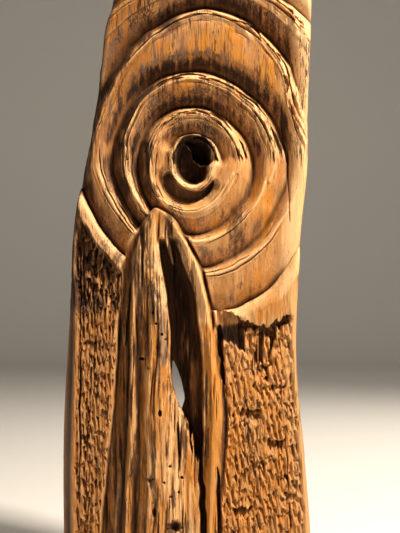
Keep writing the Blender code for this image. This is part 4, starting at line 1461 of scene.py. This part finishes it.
class Shader:
    """Adds nodes to a material, so that shader maths reads as expressions."""

    def __init__(self, material: bpy.types.Material) -> None:
        """Takes over a material's node tree and empties it."""
        material.use_nodes = True
        self.tree = material.node_tree
        self.tree.nodes.clear()

    def node(self, kind: str, settings: dict | None = None, **inputs: object) -> bpy.types.Node:
        """Adds a node.

        Args:
            kind: the node's type.
            settings: properties of the node, set before its sockets.
            inputs: the sockets' values or links, by name with _ for a space, or i0, i1 and so on by place.

        Returns:
            The node.
        """
        made = self.tree.nodes.new(kind)
        for name, value in (settings or {}).items():
            setattr(made, name, value)
        for name, value in inputs.items():
            by_place = name[0] == "i" and name[1:].isdigit()
            socket = made.inputs[int(name[1:])] if by_place else made.inputs[name.replace("_", " ")]
            if isinstance(value, Socket):
                self.tree.links.new(value.socket, socket)
            else:
                socket.default_value = value
        return made

    def output(self, node: bpy.types.Node, name: Union[str, int]) -> "Socket":
        """One output of a node, wrapped for expressions."""
        return Socket(self, node.outputs[name])

    def noise(self, vector: "Socket", scale: float, detail: float, roughness: float) -> "Socket":
        """Noise from 0 to 1.

        Args:
            vector: the places to read it at.
            scale: how many of its bumps there are to a metre.
            detail: how many finer noises are laid over it.
            roughness: how strong the finer noises are.

        Returns:
            The noise.
        """
        made = self.node("ShaderNodeTexNoise", {"noise_dimensions": "3D"}, Vector=vector, Scale=scale,
                         Detail=detail, Roughness=roughness)
        return self.output(made, "Fac")

    def bent(self, vector: "Socket", scale: float, reach: float) -> "Socket":
        """A vector pushed about a little by noise, so that nothing laid out on it runs quite straight."""
        made = self.node("ShaderNodeTexNoise", {"noise_dimensions": "3D"}, Vector=vector, Scale=scale,
                         Detail=2.0)
        push = self.node("ShaderNodeVectorMath", {"operation": "MULTIPLY_ADD"}, i0=self.output(made, "Color"),
                         i1=(reach, reach, reach), i2=vector)
        return self.output(push, 0)

    def attribute(self, stain: Stain) -> "Socket":
        """The value that the mesh keeps for a stain."""
        made = self.node("ShaderNodeAttribute", {"attribute_name": stain.value})
        return self.output(made, "Fac")

    def mix(self, share: Value, first: object, second: object) -> "Socket":
        """A colour between two colours."""
        made = self.node("ShaderNodeMix", {"data_type": "RGBA", "clamp_factor": True}, i0=share, i6=first,
                         i7=second)
        return self.output(made, 2)

    def step(self, value: "Socket", start: float, end: float) -> "Socket":
        """A smooth step from 0 at start to 1 at end."""
        made = self.node("ShaderNodeMapRange", {"interpolation_type": "SMOOTHSTEP"}, i0=value, i1=start,
                         i2=end, i3=0.0, i4=1.0)
        return self.output(made, 0)


@dataclass(frozen=True)
class Socket:
    """A node's output that takes part in expressions."""

    shader: Shader
    socket: bpy.types.NodeSocket

    def maths(self, operation: str, first: Value, second: Value) -> "Socket":
        """Adds a Math node."""
        made = self.shader.node("ShaderNodeMath", {"operation": operation}, i0=first, i1=second)
        return Socket(self.shader, made.outputs[0])

    def __add__(self, other: Value) -> "Socket":
        """self + other."""
        return self.maths("ADD", self, other)

    __radd__ = __add__

    def __mul__(self, other: Value) -> "Socket":
        """self * other."""
        return self.maths("MULTIPLY", self, other)

    __rmul__ = __mul__

    def __sub__(self, other: Value) -> "Socket":
        """self - other."""
        return self.maths("SUBTRACT", self, other)

    def __rsub__(self, other: Value) -> "Socket":
        """other - self."""
        return self.maths("SUBTRACT", other, self)

    def scaled(self, scale: tuple[float, float, float]) -> "Socket":
        """A vector stretched along each axis."""
        made = self.shader.node("ShaderNodeVectorMath", {"operation": "MULTIPLY"}, i0=self, i1=scale)
        return Socket(self.shader, made.outputs[0])


Colour = tuple[float, float, float, float]


@dataclass(frozen=True)
class WeatheredWood:
    """Oiled, fire-blackened and weathered wood with its grain running up the slab, with painted shade in its
    hollows, on its left and on faces turned from the light, and painted highlights on its edges and right
    side.
    """

    light: Colour = (0.60, 0.310, 0.112, 1.0)
    middle: Colour = (0.43, 0.180, 0.053, 1.0)
    gold: Colour = (0.55, 0.210, 0.028, 1.0)
    brown: Colour = (0.19, 0.068, 0.019, 1.0)
    # Torn wood colour, also used for painted highlights.
    pale_and_highlight: Colour = (0.87, 0.54, 0.265, 1.0)
    grey: Colour = (0.125, 0.076, 0.056, 1.0)
    # Scorched brown and near black below, used for charring and for painted shade.
    scorch_and_shade_brown: Colour = (0.120, 0.050, 0.020, 1.0)
    char_and_shade_dark: Colour = (0.014, 0.007, 0.005, 1.0)
    sawn: Colour = (0.36, 0.215, 0.11, 1.0)
    bend_scale: float = 7.0
    bend_reach: float = 0.010
    bump_strength: float = 0.7
    bump_height: float = 0.0016
    roughness: float = 0.60
    specular: float = 0.22

    def material(self) -> bpy.types.Material:
        """Builds the finish."""
        made = bpy.data.materials.new("weathered_wood")
        shader = Shader(made)
        place = shader.output(shader.node("ShaderNodeTexCoord"), "Object")
        bent = shader.bent(place, self.bend_scale, self.bend_reach)
        long_grain = bent.scaled((1.0, 1.0, 0.045))
        short_grain = bent.scaled((1.0, 1.0, 0.13))
        bands = shader.noise(long_grain, 75.0, 5.0, 0.65)
        lines = shader.noise(long_grain, 520.0, 4.0, 0.70)
        streaks = shader.noise(short_grain, 240.0, 5.0, 0.70)
        flecks = shader.noise(short_grain, 800.0, 3.0, 0.70)
        patches = shader.noise(place, 14.0, 3.0, 0.55)
        stains = [shader.attribute(stain) for stain in Stain]
        cavity_shade, char_and_shade, grey_and_shade, fresh_and_highlight, golden, aged_and_left_shade, streaked = stains
        # Grey smudges, partly painted shade.
        smudge_and_shade = shader.step(grey_and_shade + 1.4 * (streaks - 0.5) + 0.7 * (lines - 0.5), 0.28, 0.92)
        dark = shader.step(lines + 0.7 * (bands - 0.5) + 0.16 * streaked, 0.64, 0.72) * streaked
        # Charring and painted shade: how dark the wood is painted, then where it turns near black.
        char_and_shade_level = char_and_shade + 1.0 * (streaks - 0.5) + 0.7 * (lines - 0.5)
        soot_and_shade = shader.step(char_and_shade_level, 0.44, 1.0)
        # Each coat lies over the ones before it: how much of it there is, and its colour.
        coats = (
            (0.95 * golden * shader.step(patches, 0.22, 0.52), self.gold),
            # Older brown wood, with painted shade towards the left.
            (0.6 * aged_and_left_shade, self.brown),
            (0.70 * shader.step(lines, 0.54, 0.66), self.brown),
            (0.50 * shader.step(flecks, 0.60, 0.70), self.grey),
            # Grey smudges, partly painted shade on slopes facing down and on the left.
            (0.85 * smudge_and_shade, self.grey),
            # Torn wood and painted highlights on edges, lips and the right side.
            (0.76 * fresh_and_highlight, self.pale_and_highlight),
            (0.9 * dark, self.char_and_shade_dark),
            # Charring and painted shade: scorched brown, then near black.
            (0.80 * shader.step(char_and_shade_level, 0.16, 0.66), self.scorch_and_shade_brown),
            (0.93 * soot_and_shade, self.char_and_shade_dark),
            # Painted shade in recesses and on the left of the fields: brown, then near black.
            (0.65 * shader.step(cavity_shade, 0.03, 0.50), self.scorch_and_shade_brown),
            (0.85 * shader.step(cavity_shade, 0.42, 1.15), self.char_and_shade_dark),
            (self.back_share(shader), self.sawn_colour(shader, place)),
        )
        colour = shader.mix(shader.step(bands + 0.5 * (lines - 0.5), 0.38, 0.62), self.middle, self.light)
        for share, coat in coats:
            colour = shader.mix(share, colour, coat)
        relief = 0.6 * lines + 0.3 * flecks + 0.5 * streaks
        bump = shader.node("ShaderNodeBump", {}, Strength=self.bump_strength, Distance=self.bump_height,
                           Height=relief)
        roughness = self.roughness + 0.25 * soot_and_shade - 0.12 * golden + 0.1 * (flecks - 0.5)
        principled = shader.node("ShaderNodeBsdfPrincipled", {}, Base_Color=colour, Roughness=roughness,
                                 Specular_IOR_Level=self.specular, Normal=shader.output(bump, 0))
        shader.node("ShaderNodeOutputMaterial", {}, Surface=shader.output(principled, 0))
        return made

    def back_share(self, shader: Shader) -> Socket:
        """1 on the flat back, where the normal points straight behind."""
        normal = shader.output(shader.node("ShaderNodeNewGeometry"), "True Normal")
        parts = shader.node("ShaderNodeSeparateXYZ", {}, i0=normal)
        return shader.step(shader.output(parts, 1), 0.90, 0.98)

    def sawn_colour(self, shader: Shader, place: Socket) -> Socket:
        """The sawn back: paler wood with faint saw marks across it."""
        marks = shader.noise(place.scaled((0.12, 1.0, 1.0)), 240.0, 2.0, 0.5)
        grain = shader.noise(place.scaled((1.0, 1.0, 0.05)), 130.0, 4.0, 0.6)
        colour = shader.mix(shader.step(grain, 0.35, 0.65), self.sawn, self.middle)
        return shader.mix(0.35 * shader.step(marks, 0.5, 0.7), colour, self.grey)


@dataclass(frozen=True)
class Studio:
    """A plain floor, soft light and the camera at the photograph's angle."""

    floor_gap: float = 0.002
    floor_reach: float = 3.2
    backdrop_way: float = 6.5
    floor_width: float = 9.0
    sweep_radius: float = 1.4
    sweep_steps: int = 24
    backdrop_height: float = 4.0
    floor_colour: Colour = (0.72, 0.70, 0.67, 1.0)
    sky: Colour = (0.62, 0.58, 0.54, 1.0)
    sky_strength: float = 0.10
    distance: float = 2.2
    seen_height: float = 0.906
    seen_centre: tuple[float, float] = (0.017, -0.0128)
    key_way: tuple[float, float] = (50.0, 53.0)
    key_distance: float = 3.0
    key_power: float = 220.0
    key_size: float = 0.36
    key_colour: tuple[float, float, float] = (1.0, 0.90, 0.76)
    fill_way: tuple[float, float] = (-50.0, 12.0)
    fill_power: float = 3.0
    rear_way: tuple[float, float] = (152.0, 30.0)
    rear_power: float = 45.0
    soft_size: float = 1.4
    sensor: float = 36.0
    front_way: float = 0.09

    def floor(self, low: Vector) -> bpy.types.Object:
        """Lays the floor under the slab; it sweeps up into a backdrop well behind it."""
        level = low.z - self.floor_gap
        profile = [(-self.floor_reach, level), (self.backdrop_way - self.sweep_radius, level)]
        for step in range(1, self.sweep_steps + 1):
            turn = 0.5 * math.pi * step / self.sweep_steps
            behind = self.backdrop_way - self.sweep_radius + self.sweep_radius * math.sin(turn)
            profile.append((behind, level + self.sweep_radius * (1 - math.cos(turn))))
        profile.append((self.backdrop_way, level + self.backdrop_height))
        bm = bmesh.new()
        start = [bm.verts.new((-0.5 * self.floor_width, y, z)) for y, z in profile]
        edges = [bm.edges.new(pair) for pair in zip(start, start[1:])]
        for vert in new_verts(bmesh.ops.extrude_edge_only(bm, edges=edges)):
            vert.co.x = 0.5 * self.floor_width
        mesh = finished(bm, "studio_floor")
        mesh.shade_smooth()
        made = placed("studio_floor", mesh)
        material = bpy.data.materials.new("studio_floor")
        shader = Shader(material)
        principled = shader.node("ShaderNodeBsdfPrincipled", {}, Base_Color=self.floor_colour, Roughness=0.8)
        shader.node("ShaderNodeOutputMaterial", {}, Surface=shader.output(principled, 0))
        mesh.materials.append(material)
        return made

    def light(self, name: str, way: tuple[float, float], power: float, size: float) -> bpy.types.Object:
        """Adds a square lamp.

        Args:
            name: the lamp's name.
            way: degrees to the right of straight ahead, and degrees up.
            power: its power in watts.
            size: its side in metres.

        Returns:
            The lamp.
        """
        turn, rise = (math.radians(angle) for angle in way)
        aim = Vector((0.0, 0.0, self.seen_centre[1]))
        toward = Vector((math.sin(turn) * math.cos(rise), -math.cos(turn) * math.cos(rise), math.sin(rise)))
        data = bpy.data.lights.new(name, "AREA")
        data.energy = power
        data.size = size
        data.color = self.key_colour
        lamp = placed(name, data)
        lamp.location = aim + toward * self.key_distance
        lamp.rotation_euler = toward.to_track_quat("Z", "Y").to_euler()
        return lamp

    def camera(self) -> bpy.types.Object:
        """Sets the camera square on to the slab, framed as the photograph is."""
        data = bpy.data.cameras.new("camera")
        data.sensor_fit = "VERTICAL"
        data.sensor_height = self.sensor
        data.lens = data.sensor_height * self.distance / self.seen_height
        camera = placed("camera", data)
        camera.location = (self.seen_centre[0], -self.distance - self.front_way, self.seen_centre[1])
        camera.rotation_euler = (math.radians(90), 0.0, 0.0)
        bpy.context.scene.camera = camera
        return camera

    def build(self, low: Vector) -> None:
        """Sets the whole studio up."""
        self.floor(low)
        self.light("key_light", self.key_way, self.key_power, self.key_size)
        self.light("fill_light", self.fill_way, self.fill_power, self.soft_size)
        self.light("rear_light", self.rear_way, self.rear_power, self.soft_size)
        self.camera()
        world = bpy.data.worlds.new("studio")
        world.use_nodes = True
        background = world.node_tree.nodes["Background"]
        background.inputs["Color"].default_value = self.sky
        background.inputs["Strength"].default_value = self.sky_strength
        bpy.context.scene.world = world
        bpy.context.scene.view_settings.view_transform = "Standard"


def report(pieces: Iterable[bpy.types.Object]) -> None:
    """Logs the size of each piece."""
    for piece in pieces:
        LOG.info("%s: %d triangles", piece.name, sum(len(face.vertices) - 2 for face in piece.data.polygons))


def main() -> None:
    """Builds the slab and the studio."""
    logging.basicConfig(level=logging.INFO, format="%(name)s: %(message)s")
    low, high = (Vector(corner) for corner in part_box(NODE))
    slab = Slab(low, high).build()
    slab.data.materials.clear()
    slab.data.materials.append(WeatheredWood().material())
    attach(slab, "root")
    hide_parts(NODE)
    Studio().build(low)
    report([slab])


if __name__ == "__main__":
    main()
